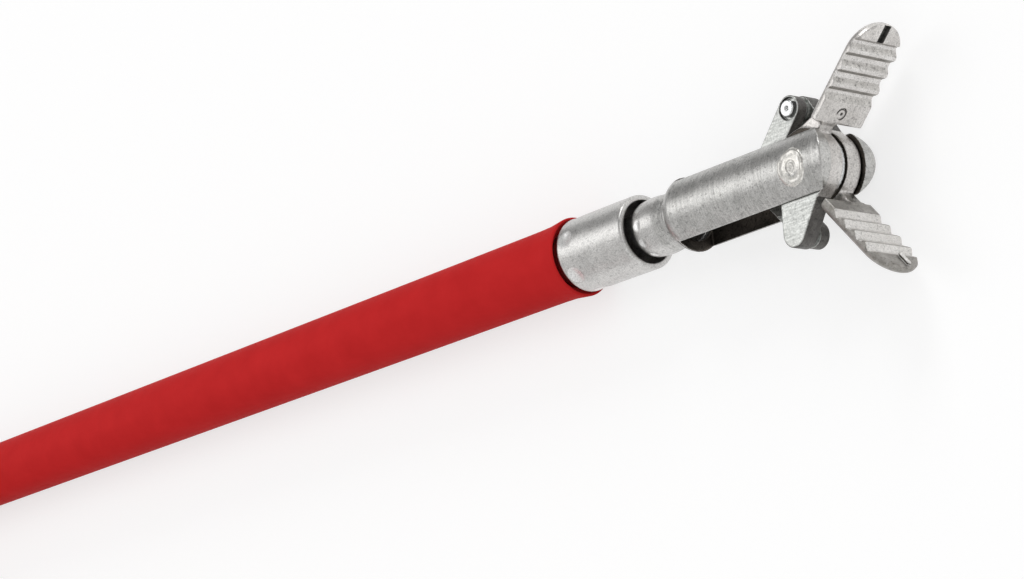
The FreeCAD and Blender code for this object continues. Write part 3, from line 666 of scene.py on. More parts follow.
def clevis_field(x, y, z):
    """The slotted tube with round arm ends, a short cone and a neck."""
    radius = np.hypot(y, z)
    ends = np.hypot(np.maximum(x, 0), y) - ARM_END
    tube = both(radius - HEAD_RADIUS, ends, ARM_EDGE)
    slope = (HEAD_RADIUS - NECK_RADIUS + CONE_DROP) / CONE
    cone = (radius - HEAD_RADIUS - (x - SHOULDER) * slope) / math.hypot(1, slope)
    body = both(tube, cone, SHOULDER_ROUND)
    neck = both(barrel(x, y, z), span(x, NECK_END - LAP, SHOULDER))
    body = either(body, neck, NECK_FILLET)
    body = less(body, both(np.abs(z) - SLOT_HALF, SLOT_END - x, SLOT_CORNER), SLOT_RIM)
    body = less(body, np.maximum(radius - BORE, x))
    body = less(body, both(radius - YOKE_POCKET, span(x, POCKET_END, SLOT_END + POCKET_LAP)))
    return less(body, np.hypot(x, y) - PIN_RADIUS)


def clevis_zones(spot, normal):
    """The walls of the slot 1, which get a dark steel as painted shade, and the rest of the skin 0."""
    x, y, z = spot.T
    wide, skin, end = WALL_MARGINS
    return (np.abs(z) < SLOT_HALF + wide) & (np.hypot(y, z) < HEAD_RADIUS - skin) & (x > SLOT_END - end)


def clevis():
    item = carved("clevis", clevis_field, (NECK_END - LAP, -HEAD_BOX, -HEAD_BOX),
                  (HEAD_BOX, HEAD_BOX, HEAD_BOX), CLEVIS_STEP, zones=clevis_zones)
    dress(item, "head", "satin_steel", BRUSHED, "clevis", extra=(SHADED_INNER,))


def weld_field(x, y, z):
    """The pivot pin with a low ring of weld round each end, on the tube's skin."""
    skin = tube_skin(y, z)
    around = HEAD_RADIUS * np.arcsin(np.clip(y / HEAD_RADIUS, -1, 1)) - WELD_DROP * np.sign(z)
    around = around / WELD_STRETCH
    out = np.hypot(x, around)
    turn = np.arctan2(around, x)
    wave = sum(height * np.sin(count * turn + phase) for height, count, phase in WELD_WAVES)
    swell = WELD_SWELL * math.prod(np.sin(count * turn + phase) for count, phase in WELD_SWELL_WAVES)
    ring = np.hypot(out - WELD_RING - wave, (skin + WELD_SINK) * WELD_SQUASH) - WELD_TUBE - swell
    marks = sum(height * np.exp(-((out - spot) / wide) ** 2) for height, spot, wide in BOWL_MARKS)
    bowl = both(out - WELD_RING, np.abs(skin + BOWL_DEPTH) - BOWL_DEPTH + marks)
    pin = both(np.hypot(x, y) - PIN_RADIUS, skin + PIN_SINK)
    weld = both(either(ring, bowl, WELD_FILLET), WELD_END - np.abs(z))
    return either(pin, weld, PIN_FILLET)


def pivot_pin():
    item = carved("pivot_weld", weld_field, WELD_LOW, WELD_HIGH, WELD_STEP)
    dress(item, "head", "satin_steel", WELD, "pivot_pin")


# jaws, each in its closed place along +X, with its gripping face at y = FACE


FACE = 0.03
BLADE_HALF = 0.98
BLADE_REACH = 4.66
BLADE_RIM = 0.15
BLADE_BACK = 0.42
BLADE_CORNER = 0.06
BLADE_LOW = (-2.6, -1.75, -1.05)
BLADE_HIGH = (4.72, 1.15, 1.05)
JAW_STEP = 0.02
UPPER_START = 1.4
LOWER_START = 1.58
# both surfaces slope, so their fields are scaled to stay close to a distance
BACK_SCALE = 0.8
FACE_SCALE = 0.9
HUB_RADIUS = 1.08
HUB_LOW = 0.1
HUB_HIGH = 0.68
EDGE_ROUND = 0.05
TAIL = 1.95
TAIL_ROOT = 0.95
TAIL_END = 0.44
TAIL_FILLET = 0.1
UPPER_TAIL = math.radians(27.3)
LOWER_TAIL = math.radians(24.1)


def plan(x, z, start):
    """Distance from the blade's outline as seen on its gripping face."""
    tip = BLADE_REACH - BLADE_HALF
    side = np.hypot(np.maximum(x - tip, 0), z) - BLADE_HALF
    return both(side, start - x, BLADE_CORNER), side


def blade(x, y, z, start, depth):
    """A blade with a domed back and a face cut to a depth that runs along it."""
    outline, side = plan(x, z, start)
    inside = np.clip(-side / BLADE_HALF, 0, 1)
    back = FACE + BLADE_RIM + (BLADE_BACK - FACE) * np.sqrt(1 - (1 - inside) ** 2)
    top = (y - back) * BACK_SCALE
    face = (FACE + depth - y) * FACE_SCALE
    return both(both(outline, face, EDGE_ROUND), top, EDGE_ROUND)


EASE = 0.02
EASE_STEPS = (-1.5, -0.5, 0.5, 1.5)


def profile(x, marks):
    """Depth along the blade from (x, depth) marks, with its corners eased."""
    xs, ds = zip(*marks)
    return sum(np.interp(x + k * EASE, xs, ds) for k in EASE_STEPS) / len(EASE_STEPS)


# each jaw's teeth: where they begin, one step of the face as (x, depth) and what comes before and after
UPPER_TEETH = (2.42, 2.97, 3.52)
UPPER_STEP = ((0.0, 0.14), (0.10, 0.02), (0.14, 0.0), (0.20, 0.0), (0.27, 0.03), (0.37, 0.125), (0.42, 0.14))
UPPER_BEFORE = ((0.0, 0.0), (2.11, 0.0), (2.2, 0.06), (2.28, 0.12), (2.34, 0.14))
UPPER_AFTER = ((4.02, 0.14), (4.09, 0.0), (6.0, 0.0))
LOWER_TEETH = (2.12, 2.62, 3.15, 3.68)
LOWER_STEP = ((-0.02, 0.0), (0.02, 0.01), (0.17, 0.14), (0.2, 0.145))
LOWER_BEFORE = ((0.0, 0.0),)
LOWER_AFTER = ((4.05, 0.05), (4.1, 0.03), (4.14, 0.06), (6.0, 0.06))


def marks(before, teeth, step, after):
    """The whole face as (x, depth) marks."""
    return [*before, *((line + dx, depth) for line in teeth for dx, depth in step), *after]


def hub_and_tail(x, y, z, side, angle):
    """The hub disc with its tapered tail, on the half that faces up or down."""
    z = z * side
    slab = span(z, HUB_LOW, HUB_HIGH)
    hub = np.hypot(x, y) - HUB_RADIUS
    tx, ty = turned_by(-x, -y, angle)
    tail = taper(tx, ty, TAIL, TAIL_ROOT, TAIL_END)
    return both(either(hub, tail, TAIL_FILLET), slab, EDGE_ROUND)


WEB_LIFT = 0.02
WEB_HIGH = 0.5
WEB_RISE = 0.42
WEB_RISE_END = 1.4
WEB_REAR = 0.3
WEB_FRONT = 1.7
WEB_ROUND = 0.06


def neck(x, y, z, side):
    """The web between the hub and the blade, on the hub's half."""
    z = z * side
    low = FACE + WEB_LIFT - y
    high = y - WEB_HIGH - WEB_RISE * np.clip(WEB_RISE_END - x, 0, 1)
    web = both(both(low, high, EDGE_ROUND), span(x, WEB_REAR, WEB_FRONT), EDGE_ROUND)
    return both(web, span(z, HUB_LOW, HUB_HIGH), WEB_ROUND)


WEB_FILLET = 0.1
HUB_FILLET = 0.08
PIN_PLAY = 0.03


def finish_jaw(blade_body, x, y, z, side, tail):
    """A blade with its web, hub, tail and the bore for the pivot pin."""
    body = either(blade_body, neck(x, y, z, side), WEB_FILLET)
    body = either(body, hub_and_tail(x, y, z, side, tail), HUB_FILLET)
    return less(body, np.hypot(x, y) - PIN_RADIUS - PIN_PLAY)


# the slot in the upper jaw's tip, from its middle and half sizes
TIP_SLOT = (4.36, 0.05)
TIP_SLOT_HALF = (0.27, 0.17, 0.13)
TIP_SLOT_ROUND = 0.05
TIP_SLOT_RIM = 0.015
# the stamped ring and dot on the upper jaw's pad
STAMP = (1.74, 0.1)
STAMP_RADIUS = 0.17
STAMP_LINE = 0.03
STAMP_DOT = 0.05
STAMP_DEPTH = 0.06
STAMP_ROUND = 0.01
# the rib on the lower jaw's tip, which ends inside the blade's outline
RIB = (4.3, -0.12)
RIB_HALF = (0.25, 0.05, 0.07)
RIB_ROUND = 0.045
RIB_INSET = 0.06
RIB_FILLET = 0.03


def upper_field(x, y, z):
    face = profile(x, marks(UPPER_BEFORE, UPPER_TEETH, UPPER_STEP, UPPER_AFTER))
    body = blade(x, y, z, UPPER_START, face)
    slot = block(x - TIP_SLOT[0], y - TIP_SLOT[1], z, TIP_SLOT_HALF, TIP_SLOT_ROUND)
    body = less(body, slot, TIP_SLOT_RIM)
    out = np.hypot(x - STAMP[0], z - STAMP[1])
    stamp = np.minimum(np.abs(out - STAMP_RADIUS) - STAMP_LINE, out - STAMP_DOT)
    body = less(body, both(stamp, np.abs(y - FACE) - STAMP_DEPTH, STAMP_ROUND), STAMP_ROUND)
    return finish_jaw(body, x, y, z, 1, UPPER_TAIL)


def lower_field(x, y, z):
    """The lower jaw drawn as if it were the upper one. It is mirrored when its mesh is made."""
    face = profile(x, marks(LOWER_BEFORE, LOWER_TEETH, LOWER_STEP, LOWER_AFTER))
    body = blade(x, y, z, LOWER_START, face)
    rib = block(x - RIB[0], y - FACE, z - RIB[1], RIB_HALF, RIB_ROUND)
    body = either(body, both(rib, plan(x, z, LOWER_START)[1] + RIB_INSET), RIB_FILLET)
    return finish_jaw(body, x, y, z, -1, LOWER_TAIL)


# the numbers of a jaw's materials after its own, and what its faces must be to get them
# of these, the tooth faces and the lower jaw's slopes are painted lighter as a highlight; the cut edges, the
# upper jaw's slopes, the hub faces and the shaded faces are painted shade
TOOTH_FACE, TAIL_FACE, SHADED_CUT, SLOPE, HUB_FACE, SHADED_FACE = range(1, 7)
TEETH_END = 4.06
TEETH_DEEP = 0.2
TEETH_FACING = -0.2
SLOPE_FACING = 0.35
STEP_FACING = -0.5
FLAT_FACING = 0.8
TAIL_FLAT_END = -0.3
TAIL_CUT_END = 0.3
TAIL_CLEAR = 0.06
# upper jaw: half sizes and middle height of the box round the slot's walls
SLOT_SHELL = (0.28, 0.11, 0.14)
SLOT_SHELL_Y = 0.13
# lower jaw: its skin, pad and tip that get painted shade, the rib's middle and half sizes, and the foot
# behind each crest, also painted shade
SKIN_START = 1.6
SIDE_FACING = 0.55
BACK_FACING = 0.3
TIP_START = 4.09
PAD_START = 1.2
PAD_FACING = -0.9
PAD_DEEP = 0.1
RIB_SHELL = (4.32, 0.24, 0.08)
RIB_FACING = -0.3
LAST_CREST = 4.12
FOOT_BACK = 0.075
FOOT_HALF = 0.065


def among_teeth(x, y, first):
    return (x > first) & (x < TEETH_END) & (np.abs(y) < TEETH_DEEP)


def upper_grip(x, y, z, normal):
    """The upper blade: a painted highlight on the teeth, and painted shade on the slopes that face the tip,
    on the steps and in the tip's slot.
    """
    teeth = among_teeth(x, y, UPPER_BEFORE[1][0])
    zone = np.where(teeth & (normal[:, 1] < TEETH_FACING), TOOTH_FACE, 0)
    # painted shade in the tip's slot
    zone[block(x - TIP_SLOT[0], y - SLOT_SHELL_Y, z, SLOT_SHELL) < 0] = SHADED_CUT
    # painted shade, with a coarser grain, on the slopes that face the tip
    zone[teeth & (normal[:, 0] > SLOPE_FACING)] = SLOPE
    # painted shade on the steep steps that face the pivot
    zone[teeth & (normal[:, 0] < STEP_FACING)] = SHADED_FACE
    return zone


def lower_grip(x, y, z, normal):
    """The lower blade: teeth and rib painted lighter as a highlight, and painted shade on the pad, sides,
    back, tip and foot of each step.
    """
    out = -normal[:, 1]
    teeth = among_teeth(x, y, LOWER_TEETH[0])
    tooth, slope = teeth & (out < TEETH_FACING), teeth & (normal[:, 0] > SLOPE_FACING)
    skin = (np.abs(normal[:, 2]) > SIDE_FACING) | (out > BACK_FACING) | (x > TIP_START)
    skin = skin & (x > SKIN_START)
    pad = (x < LOWER_TEETH[0]) & (x > PAD_START) & (out < PAD_FACING) & (np.abs(y) < PAD_DEEP)
    middle_x, half_x, half_z = RIB_SHELL
    rib = (np.abs(x - middle_x) < half_x) & (np.abs(z - RIB[1]) < half_z) & (out < RIB_FACING)
    crests = LOWER_TEETH[1:] + (LAST_CREST,)
    foot = np.min([np.abs(x - crest + FOOT_BACK) for crest in crests], axis=0) < FOOT_HALF
    zone = np.where(skin | pad, SHADED_FACE, 0)
    zone[rib | tooth] = TOOTH_FACE
    zone[slope] = SLOPE
    zone[(tooth | slope) & foot] = SHADED_FACE
    return zone


def jaw_zones(grip):
    """Each face's number: on the blade from its own rules, on the tail and the hub from shared ones, with
    painted shade on the tail's cut edges and the hub's flat faces.
    """
    def zones(spot, normal):
        x, y, z = spot.T
        zone = grip(x, y, z, normal)
        flat = np.abs(normal[:, 2]) > FLAT_FACING
        out = np.hypot(x, y)
        tail = np.where(flat, x < TAIL_FLAT_END, (x < TAIL_CUT_END) & (out > HUB_RADIUS + TAIL_CLEAR))
        # painted shade on the tail's cut edges
        zone[tail] = SHADED_CUT
        zone[tail & flat] = TAIL_FACE
        # painted shade on the hub's flat faces
        zone[flat & (out < HUB_RADIUS) & (x > TAIL_FLAT_END)] = HUB_FACE
        return zone
    return zones


def jaws():
    turn = HEAD @ Matrix.Rotation(UPPER_OPEN, 4, "Z")
    item = carved("jaw_upper", upper_field, BLADE_LOW, BLADE_HIGH, JAW_STEP, turn, jaw_zones(upper_grip))
    dress(item, "upper_jaw", "jaw_steel", JAW, "jaw_upper",
          extra=(HIGHLIT_TOOTH, FACE_STEEL, SHADED_EDGE_STEEL, SHADED_FLANK, SHADED_INNER, SHADED_STEEL))
    turn = HEAD @ Matrix.Rotation(-LOWER_OPEN, 4, "Z")
    low = (BLADE_LOW[0], -BLADE_HIGH[1], BLADE_LOW[2])
    high = (BLADE_HIGH[0], -BLADE_LOW[1], BLADE_HIGH[2])
    item = carved("jaw_lower", lambda x, y, z: lower_field(x, -y, z), low, high, JAW_STEP, turn,
                  jaw_zones(lower_grip))
    dress(item, "lower_jaw", "jaw_steel", JAW, "jaw_lower",
          extra=(LIT, FACE_STEEL, SHADED_EDGE_STEEL, LIT, SHADED_INNER, SHADED_STEEL))


# links and rivets


LINK_LENGTH = 2.45
LINK_HALF = 0.4
LINK_NEAR = 0.03
LINK_FAR = 0.42
LINK_EDGE = 0.035
LINK_STEP = 0.016
LINK_BOX = 0.45
RIVET_HOLE = 0.17
YOKE_HOLE = 0.33
SINK_RADIUS = 0.345
SINK_DEPTH = 0.13
SINK_EDGE = 0.015
YOKE_X = -2.15
EDGE_FACING = 0.6
RIVET_STEM = 0.16
STEM_START = 0.05
RIVET_HEAD = 0.25
RIVET_PROUD = 0.07
RIVET_EDGES = (0.03, 0.04, 0.02, 0.01)
RIVET_DIMPLE = 0.07
DIMPLE_LIFT = 0.08
RIVET_COLLAR = 0.3
COLLAR_PLAY = 0.01
RIVET_STEP = 0.014
RIVET_BOX = (0.32, 0.32, 0.72)


def rivet_spot(side):
    """A tail's rivet at rest: side is 1 for the upper jaw's tail and -1 for the lower jaw's."""
    angle = (UPPER_OPEN + UPPER_TAIL) if side > 0 else (LOWER_OPEN + LOWER_TAIL)
    return -TAIL * math.cos(angle), -side * TAIL * math.sin(angle)


def link_field(side):
    def field(x, y, z):
        z = z * side
        plate = span(z, LINK_NEAR, LINK_FAR)
        bar = both(taper(x, y, LINK_LENGTH, LINK_HALF, LINK_HALF), plate, LINK_EDGE)
        bar = less(bar, both(np.hypot(x, y) - SINK_RADIUS, LINK_FAR - SINK_DEPTH - z), SINK_EDGE)
        bar = less(bar, np.hypot(x, y) - RIVET_HOLE)
        return less(bar, np.hypot(x - LINK_LENGTH, y) - YOKE_HOLE)
    return field


def rivet_field(side):
    def field(x, y, z):
        z = z * side
        out = np.hypot(x, y)
        stem_edge, head_edge, dimple_edge, collar_edge = RIVET_EDGES
        stem = both(out - RIVET_STEM, span(z, STEM_START - HUB_HIGH, LINK_FAR), stem_edge)
        head = both(out - RIVET_HEAD, span(z, LINK_FAR - SINK_DEPTH, LINK_FAR + RIVET_PROUD), head_edge)
        dimple = np.hypot(out, z - LINK_FAR - DIMPLE_LIFT) - RIVET_DIMPLE
        head = less(head, dimple, dimple_edge)
        gap = span(z, -HUB_LOW + COLLAR_PLAY, LINK_NEAR - COLLAR_PLAY)
        collar = both(out - RIVET_COLLAR, gap, collar_edge)
        return either(either(stem, head), collar)
    return field


def link_zones(spot, normal):
    """Cut edges 1 all round a flat link, which get a near-black steel as painted shade."""
    return (np.abs(normal[:, 2]) < EDGE_FACING) * 1


def links():
    for name, side in (("upper", 1), ("lower", -1)):
        x, y = rivet_spot(-side)
        angle = math.atan2(-y, YOKE_X - x)
        place = HEAD @ Matrix.Translation(Vector((x, y, 0)) * MM)
        item = carved("rivet_" + name, rivet_field(side), [-v for v in RIVET_BOX], RIVET_BOX,
                      RIVET_STEP, place)
        body = "lower_jaw" if side > 0 else "upper_jaw"
        dress(item, body, "polished_steel", BRIGHT, "rivet_" + name)
        low = (-LINK_BOX, -LINK_BOX, 0.0 if side > 0 else -LINK_BOX)
        high = (LINK_LENGTH + LINK_BOX, LINK_BOX, LINK_BOX if side > 0 else 0.0)
        item = carved("link_" + name, link_field(side), low, high, LINK_STEP,
                      place @ Matrix.Rotation(angle, 4, "Z"), link_zones)
        dress(item, name + "_link", "polished_steel", FACE_STEEL, "link_" + name, extra=(SHADED_EDGE_STEEL,))


# swivel collar, ferrule and the mouth of the sheath


COLLAR_SHOULDER = -7.07
COLLAR_ROUND = 0.14
COLLAR_STEM = 0.65
COLLAR_BORE = 0.5
COLLAR_REAR = -8.75
COLLAR_STEP = 0.024
FERRULE_FRONT = -7.15
FERRULE_REAR = -10.1
FERRULE_RIM = 0.1
FERRULE_TAIL = 0.92
TAIL_REAR = -13.7
TAIL_LAP = 0.3
FERRULE_BORE = 0.54
REAR_BORE = 0.78
FERRULE_STEP = 0.03
CUP_RADIUS = 1.0
CUP_FLOOR = -8.8
CUP_WEB = 0.35
CUP_RIM = 0.05
MOUTH_FRONT = -10.2
MOUTH_REAR = -20.6
MOUTH_LAP = 0.2
MOUTH_SEGMENTS = 144
# each piece's dimples: how many, place along it, its radius, first angle, their size and depth
COLLAR_DENTS = (10, BARREL_MIDDLE - 0.3, BARREL_RADIUS, 0.35, 0.3, 0.045)
FERRULE_DENTS = (6, FERRULE_REAR + 0.42, HEAD_RADIUS, 0.25, 0.7, 0.05)
DENT_RIM = 0.03
DENT_SHOWS = 0.015


def dents(x, y, z, count, along, radius, start, size, depth):
    """Small round hollows spaced around a turned piece."""
    angle = np.arctan2(z, y) - start
    step = 2 * math.pi / count
    nearest = angle - step * np.round(angle / step)
    above = radius + size - depth - np.hypot(y, z)
    return np.sqrt((x - along) ** 2 + (nearest * radius) ** 2 + above ** 2) - size


def highlit_dents(row):
    """The hollows 1 on a satin piece, which get a near-white steel as a painted highlight."""
    def zones(spot, normal):
        return dents(*spot.T, *row) < DENT_SHOWS
    return zones


def collar_field(x, y, z):
    radius = np.hypot(y, z)
    body = both(barrel(x, y, z), COLLAR_SHOULDER - x, COLLAR_ROUND)
    body = both(body, x - NECK_END - LAP)
    body = less(body, dents(x, y, z, *COLLAR_DENTS), DENT_RIM)
    stem = both(radius - COLLAR_STEM, span(x, COLLAR_REAR, NECK_END))
    return less(either(body, stem), radius - COLLAR_BORE)


def ferrule_field(x, y, z):
    radius = np.hypot(y, z)
    shell = both(radius - HEAD_RADIUS, span(x, FERRULE_REAR, FERRULE_FRONT), FERRULE_RIM)
    shell = less(shell, dents(x, y, z, *FERRULE_DENTS), DENT_RIM)
    tail = both(radius - FERRULE_TAIL, span(x, TAIL_REAR, FERRULE_REAR + TAIL_LAP))
    body = either(shell, tail)
    body = less(body, both(radius - CUP_RADIUS, CUP_FLOOR - x), CUP_RIM)
    rear = both(radius - REAR_BORE, x - CUP_FLOOR + CUP_WEB)
    return less(less(body, rear), radius - FERRULE_BORE)


def swivel():
    item = carved("swivel_collar", collar_field, (COLLAR_REAR, -1, -1), (NECK_END + LAP, 1, 1), COLLAR_STEP,
                  zones=highlit_dents(COLLAR_DENTS))
    dress(item, "head", "satin_steel", SATIN, "swivel_collar", extra=(HIGHLIT_DENT,))
    item = carved("ferrule", ferrule_field, (TAIL_REAR, -1.2, -1.2), (FERRULE_FRONT, 1.2, 1.2),
                  FERRULE_STEP, zones=highlit_dents(FERRULE_DENTS))
    dress(item, "root", "satin_steel", SATIN, "ferrule", extra=(HIGHLIT_DENT,))
    lip, rear = MOUTH_FRONT, MOUTH_REAR - MOUTH_LAP
    outline = [
        (rear, 0.94, 0), (rear, 1.2, 0), (lip - 1.3, 1.2, 0), (lip - 0.7, 1.215, 1.0),
        (lip - 0.05, 1.29, 0.05), (lip, 1.22, 0.03), (lip - 0.35, 0.94, 0.02)]
    item = lathe("sheath_mouth", outline, HEAD, MOUTH_SEGMENTS)
    dress(item, "root", "red_sheath", RED, "sheath_mouth")


def head():
    clevis()
    pivot_pin()
    jaws()
    links()
    swivel()


# the handle, in a frame on its own axis


RING_X = -97.75
RING_RADIUS = 19.0
RING_HOLE = 12.5
RING_HALF = 4.5
STEM_HALF = 6.5
NOSE_X = 1.25
NOSE_RADIUS = 7.0
NOSE_REAR = -18.75
CAP_REAR = -7.75
SPOOL_X = -40.0
SPOOL_HALF = 15.5
SPOOL_WIDE = 20.0
SPOOL_HIGH = 10.5
WAIST_WIDE = 11.5
WAIST_HIGH = 9.7
FLANGE = 5.5
SLOT_REAR = -53.5
SLOT_FRONT = -34.5
SLOT_HIGH = 2.2
ELECTRODE_X = -13.0


def bar_field(y, z, half_y, half_z, r):
    """A long square bar along X with rounded edges."""
    qy, qz = np.abs(y) - half_y + r, np.abs(z) - half_z + r
    return np.hypot(np.maximum(qy, 0), np.maximum(qz, 0)) + np.minimum(np.maximum(qy, qz), 0) - r


def handle_field(x, y, z):
    out = np.hypot(x - RING_X, y)
    ring = both(out - RING_RADIUS, np.abs(z) - RING_HALF, 2.5)
    swell = np.clip((x + 79) / 10, 0, 1)
    stem = bar_field(y, z, STEM_HALF - 0.6 * (1 - swell), STEM_HALF - 0.9 * (1 - swell), 3.0)
    stem = both(stem, span(x, RING_X + RING_RADIUS - 4, NOSE_REAR + 1), 0.3)
    nose = both(np.hypot(y, z) - NOSE_RADIUS, span(x, NOSE_REAR, CAP_REAR), 0.5)
    collar = both(np.hypot(y, z) - NOSE_RADIUS, span(x, NOSE_REAR, NOSE_REAR + 2.2), 0.5)
    body = either(either(ring, stem, 3.0), either(nose, collar, 0.4), 1.5)
    hole = less(body, out - RING_HOLE, 2.0)
    groove = both(np.abs(np.abs(y) - STEM_HALF) - 0.35, bar_field(x + 64, z, 8.0, 1.6, 1.5), 0.3)
    body = less(hole, groove, 0.2)
    slot = both(bar_field(x - (SLOT_REAR + SLOT_FRONT) / 2, z, (SLOT_FRONT - SLOT_REAR) / 2, SLOT_HIGH, 1.2),
                np.abs(y) - 9)
    body = less(body, slot, 0.25)
    spigot = both(np.hypot(y, z) - 5.6, span(x, CAP_REAR - 0.5, NOSE_X - 3.8))
    body = either(body, spigot)
    bore = both(np.hypot(y, z) - 1.4, SLOT_FRONT - 1 - x)
    well = both(np.hypot(x - ELECTRODE_X, y) - 3.0, 4.0 - z)
    return less(less(body, bore), well)


def handle():
    item = carved("handle_body", handle_field, (-116.75, -19, -7), (NOSE_X, 19, 7), 0.45, HANDLE)
    dress(item, "root", "handle_plastic", WHITE, "handle_body")


def cap_field(x, y, z):
    """The nose cap with flats to grip and a domed front."""
    radius = np.hypot(y, z)
    shell = both(radius - NOSE_RADIUS, span(x, CAP_REAR + 0.05, NOSE_X), 0.4)
    dome = (radius - NOSE_RADIUS + np.maximum(x - NOSE_X + 1.6, 0) * 1.35) * 0.75
    shell = both(shell, dome, 0.5)
    angle = np.arctan2(z, y)
    step = 2 * math.pi / 18
    across = np.abs(angle - step * np.round(angle / step)) * radius
    groove = np.hypot(across, (radius - NOSE_RADIUS - 0.35)) - 0.75
    groove = both(groove, span(x, CAP_REAR + 1.6, NOSE_X - 2.6), 0.4)
    shell = less(shell, groove, 0.2)
    inner = both(radius - 5.7, x - NOSE_X + 1.4)
    return less(less(shell, inner), radius - 3.7)


def boot_outline():
    """The strain relief: a tapered sleeve with deep rings cut round it."""
    base, tip, length = 3.6, 1.9, 14.0
    outline = [(-2.4, 1.0, 0), (-2.4, 4.8, 0), (0.0, 4.8, 0), (0.0, base, 0), (1.4, base, 0)]
    rings = 6
    first, last = 2.6, length - 1.6
    pitch = (last - first) / rings
    for k in range(rings):
        x = first + k * pitch
        here = base + (tip - base) * x / length
        outline += [(1.4 + x - 0.55, here + 0.04, 0.25), (1.4 + x - 0.3, here - 0.5, 0.12),
                    (1.4 + x + 0.3, here - 0.55, 0.12), (1.4 + x + 0.55, here - 0.06, 0.25)]
    return outline + [(1.4 + length, tip, 0.3), (1.4 + length, 1.25, 0), (length - 1.6, 1.25, 0),
                      (length - 1.6, 1.0, 0)]


def nose():
    item = carved("nose_cap", cap_field, (CAP_REAR, -7, -7), (NOSE_X, 7, 7), 0.3, HANDLE)
    dress(item, "root", "grey_plastic", GREY, "nose_cap")
    place = HANDLE @ Matrix.Translation(((NOSE_X - 1.4) * MM, 0, 0))
    item = lathe("strain_relief_boot", boot_outline(), place)
    dress(item, "root", "soft_rubber", RUBBER, "strain_relief_boot")
    upright = HANDLE @ Matrix.Translation((ELECTRODE_X * MM, 0, 0)) @ Matrix.Rotation(-math.pi / 2, 4, "Y")
    outline = [
        (5.5, 1.71, 0), (5.5, 2.95, 0), (7.1, 2.95, 0), (7.1, 4.0, 0.3), (8.3, 4.0, 0.3), (8.5, 3.75, 0.2),
        (9.3, 3.75, 0.2), (9.5, 4.0, 0.3), (10.9, 4.0, 0.4), (11.5, 3.3, 0.3), (11.5, 2.3, 0.2),
        (10.9, 1.71, 0.1)]
    item = lathe("electrode_collar", outline, upright)
    dress(item, "root", "grey_plastic", GREY, "electrode_collar")
    outline = [
        (4.0, 0.02, 0), (4.0, 2.2, 0), (5.5, 2.2, 0), (5.5, 1.7, 0), (11.5, 1.7, 0), (11.5, 1.5, 0),
        (22.1, 1.5, 0.1), (22.4, 1.32, 0.1), (22.9, 1.32, 0.1), (23.2, 1.5, 0.1), (23.7, 1.5, 0.5),
        (24.0, 0.9, 0.3), (24.0, 0.02, 0)]
    item = lathe("electrode_pin", outline, upright)
    dress(item, "root", "polished_steel", BRIGHT, "electrode_pin")


SCREWS = [(dx, dy) for dx in (-9.5, 9.5) for dy in (-9.0, 9.0)]
SPOOL_STEP = 0.4
SCREW_STEP = 0.2
# the finger ribs on the waist
RIB_PITCH = 3.0
RIB_WIDE = 0.7
RIB_HIGH = 0.45
# half sizes of the room for the wire clamp
CLAMP_ROOM = (3.5, 9.0, 2.05)
# the screws, their wells and the plain ring in the top
WELL_RADIUS = 2.1
WELL_FLOOR = 8.5
SCREW_HEAD = 2.0
SCREW_TOP = 10.1
SCREW_SHANK = 1.09
SCREW_END = 7.0
CROSS_WIDE = 0.28
CROSS_LONG = 1.1
CROSS_FLOOR = 9.4
MARK_OUT = 3.2
MARK_WIDE = 0.35
MARK_FLOOR = 9.35
PARTING = 0.03


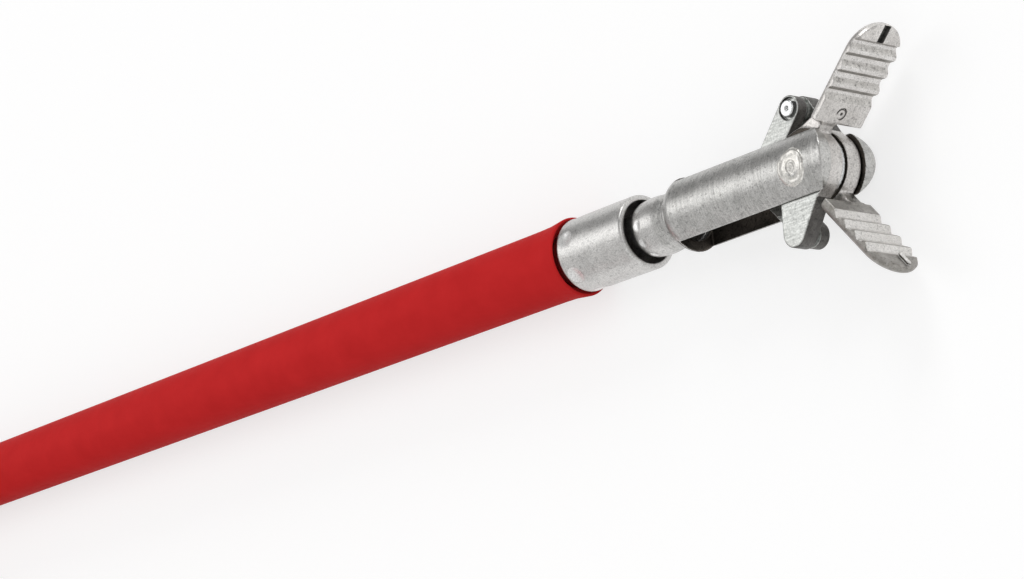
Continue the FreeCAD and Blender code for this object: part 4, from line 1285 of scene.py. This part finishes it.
def spool_field(top):
    def field(x, y, z):
        z = z * (1 if top else -1)
        waist = bar_field(y, z, WAIST_WIDE, WAIST_HIGH, 4.0)
        body = both(waist, np.abs(x) - SPOOL_HALF, 0.4)
        for middle_x in (-SPOOL_HALF + FLANGE / 2, SPOOL_HALF - FLANGE / 2):
            disc = bar_field(y, z, SPOOL_WIDE, SPOOL_HIGH, 6.0)
            disc = both(disc, np.abs(x - middle_x) - FLANGE / 2, 1.6)
            body = either(body, disc, 2.6)
        body = both(both(body, np.abs(x) - SPOOL_HALF, 0.1), np.abs(z) - SPOOL_HIGH, 0.3)
        grip = sum(np.exp(-((x - k * RIB_PITCH) / RIB_WIDE) ** 2) for k in (-1, 0, 1)) * RIB_HIGH
        body = body + grip * np.clip((np.abs(y) - WAIST_WIDE + 2.0) / 2, 0, 1) * (np.abs(x) < 7)
        tunnel = bar_field(y, z, STEM_HALF + 0.2, STEM_HALF + 0.2, 3.0)
        body = less(body, tunnel, 0.3)
        clamp_x, clamp_y, clamp_z = CLAMP_ROOM
        clamp = both(both(np.abs(x) - clamp_x, np.abs(y) - clamp_y), np.abs(z) - clamp_z)
        body = less(body, clamp)
        if top:
            mark = np.hypot(x, y) - MARK_OUT
            body = less(body, both(np.abs(mark) - MARK_WIDE, MARK_FLOOR - z), 0.25)
        else:
            for dx, dy in SCREWS:
                out = np.hypot(x - dx, y - dy)
                body = less(body, both(out - WELL_RADIUS, WELL_FLOOR - z), 0.15)
        return both(body, PARTING - z, 0.2)
    return field


def screw_field(x, y, z):
    """Four cross-headed screws from below."""
    body = np.inf
    for dx, dy in SCREWS:
        across, along = np.abs(x - dx), np.abs(y - dy)
        out = np.hypot(x - dx, y - dy)
        head = both(out - SCREW_HEAD, span(z, -SCREW_TOP, -WELL_FLOOR), 0.25)
        cross = np.minimum(np.maximum(across - CROSS_WIDE, along - CROSS_LONG),
                           np.maximum(along - CROSS_WIDE, across - CROSS_LONG))
        head = less(head, both(cross, z + CROSS_FLOOR), 0.06)
        shank = both(out - SCREW_SHANK, span(z, -WELL_FLOOR - 0.1, SCREW_END))
        body = np.minimum(body, np.minimum(head, shank))
    return body


def spool():
    place = HANDLE @ Matrix.Translation((SPOOL_X * MM, 0, 0))
    corner = (SPOOL_HALF, SPOOL_WIDE, SPOOL_HIGH)
    item = carved("spool_top", spool_field(True), (-SPOOL_HALF, -SPOOL_WIDE, 0), corner, SPOOL_STEP, place)
    dress(item, "spool", "spool_plastic", PALE, "spool_top")
    item = carved("spool_bottom", spool_field(False), [-v for v in corner], (SPOOL_HALF, SPOOL_WIDE, 0),
                  SPOOL_STEP, place)
    dress(item, "spool", "spool_plastic", PALE, "spool_bottom")
    item = carved("spool_screws", screw_field, (-11.6, -11.1, -10.2), (11.6, 11.1, 7.0), SCREW_STEP, place)
    dress(item, "spool", "polished_steel", BRIGHT, "spool_screws")


bpy.context.scene.view_settings.view_transform = "Standard"
camera()
studio()
sheath()
finish_frame()
head()
handle()
nose()
spool()
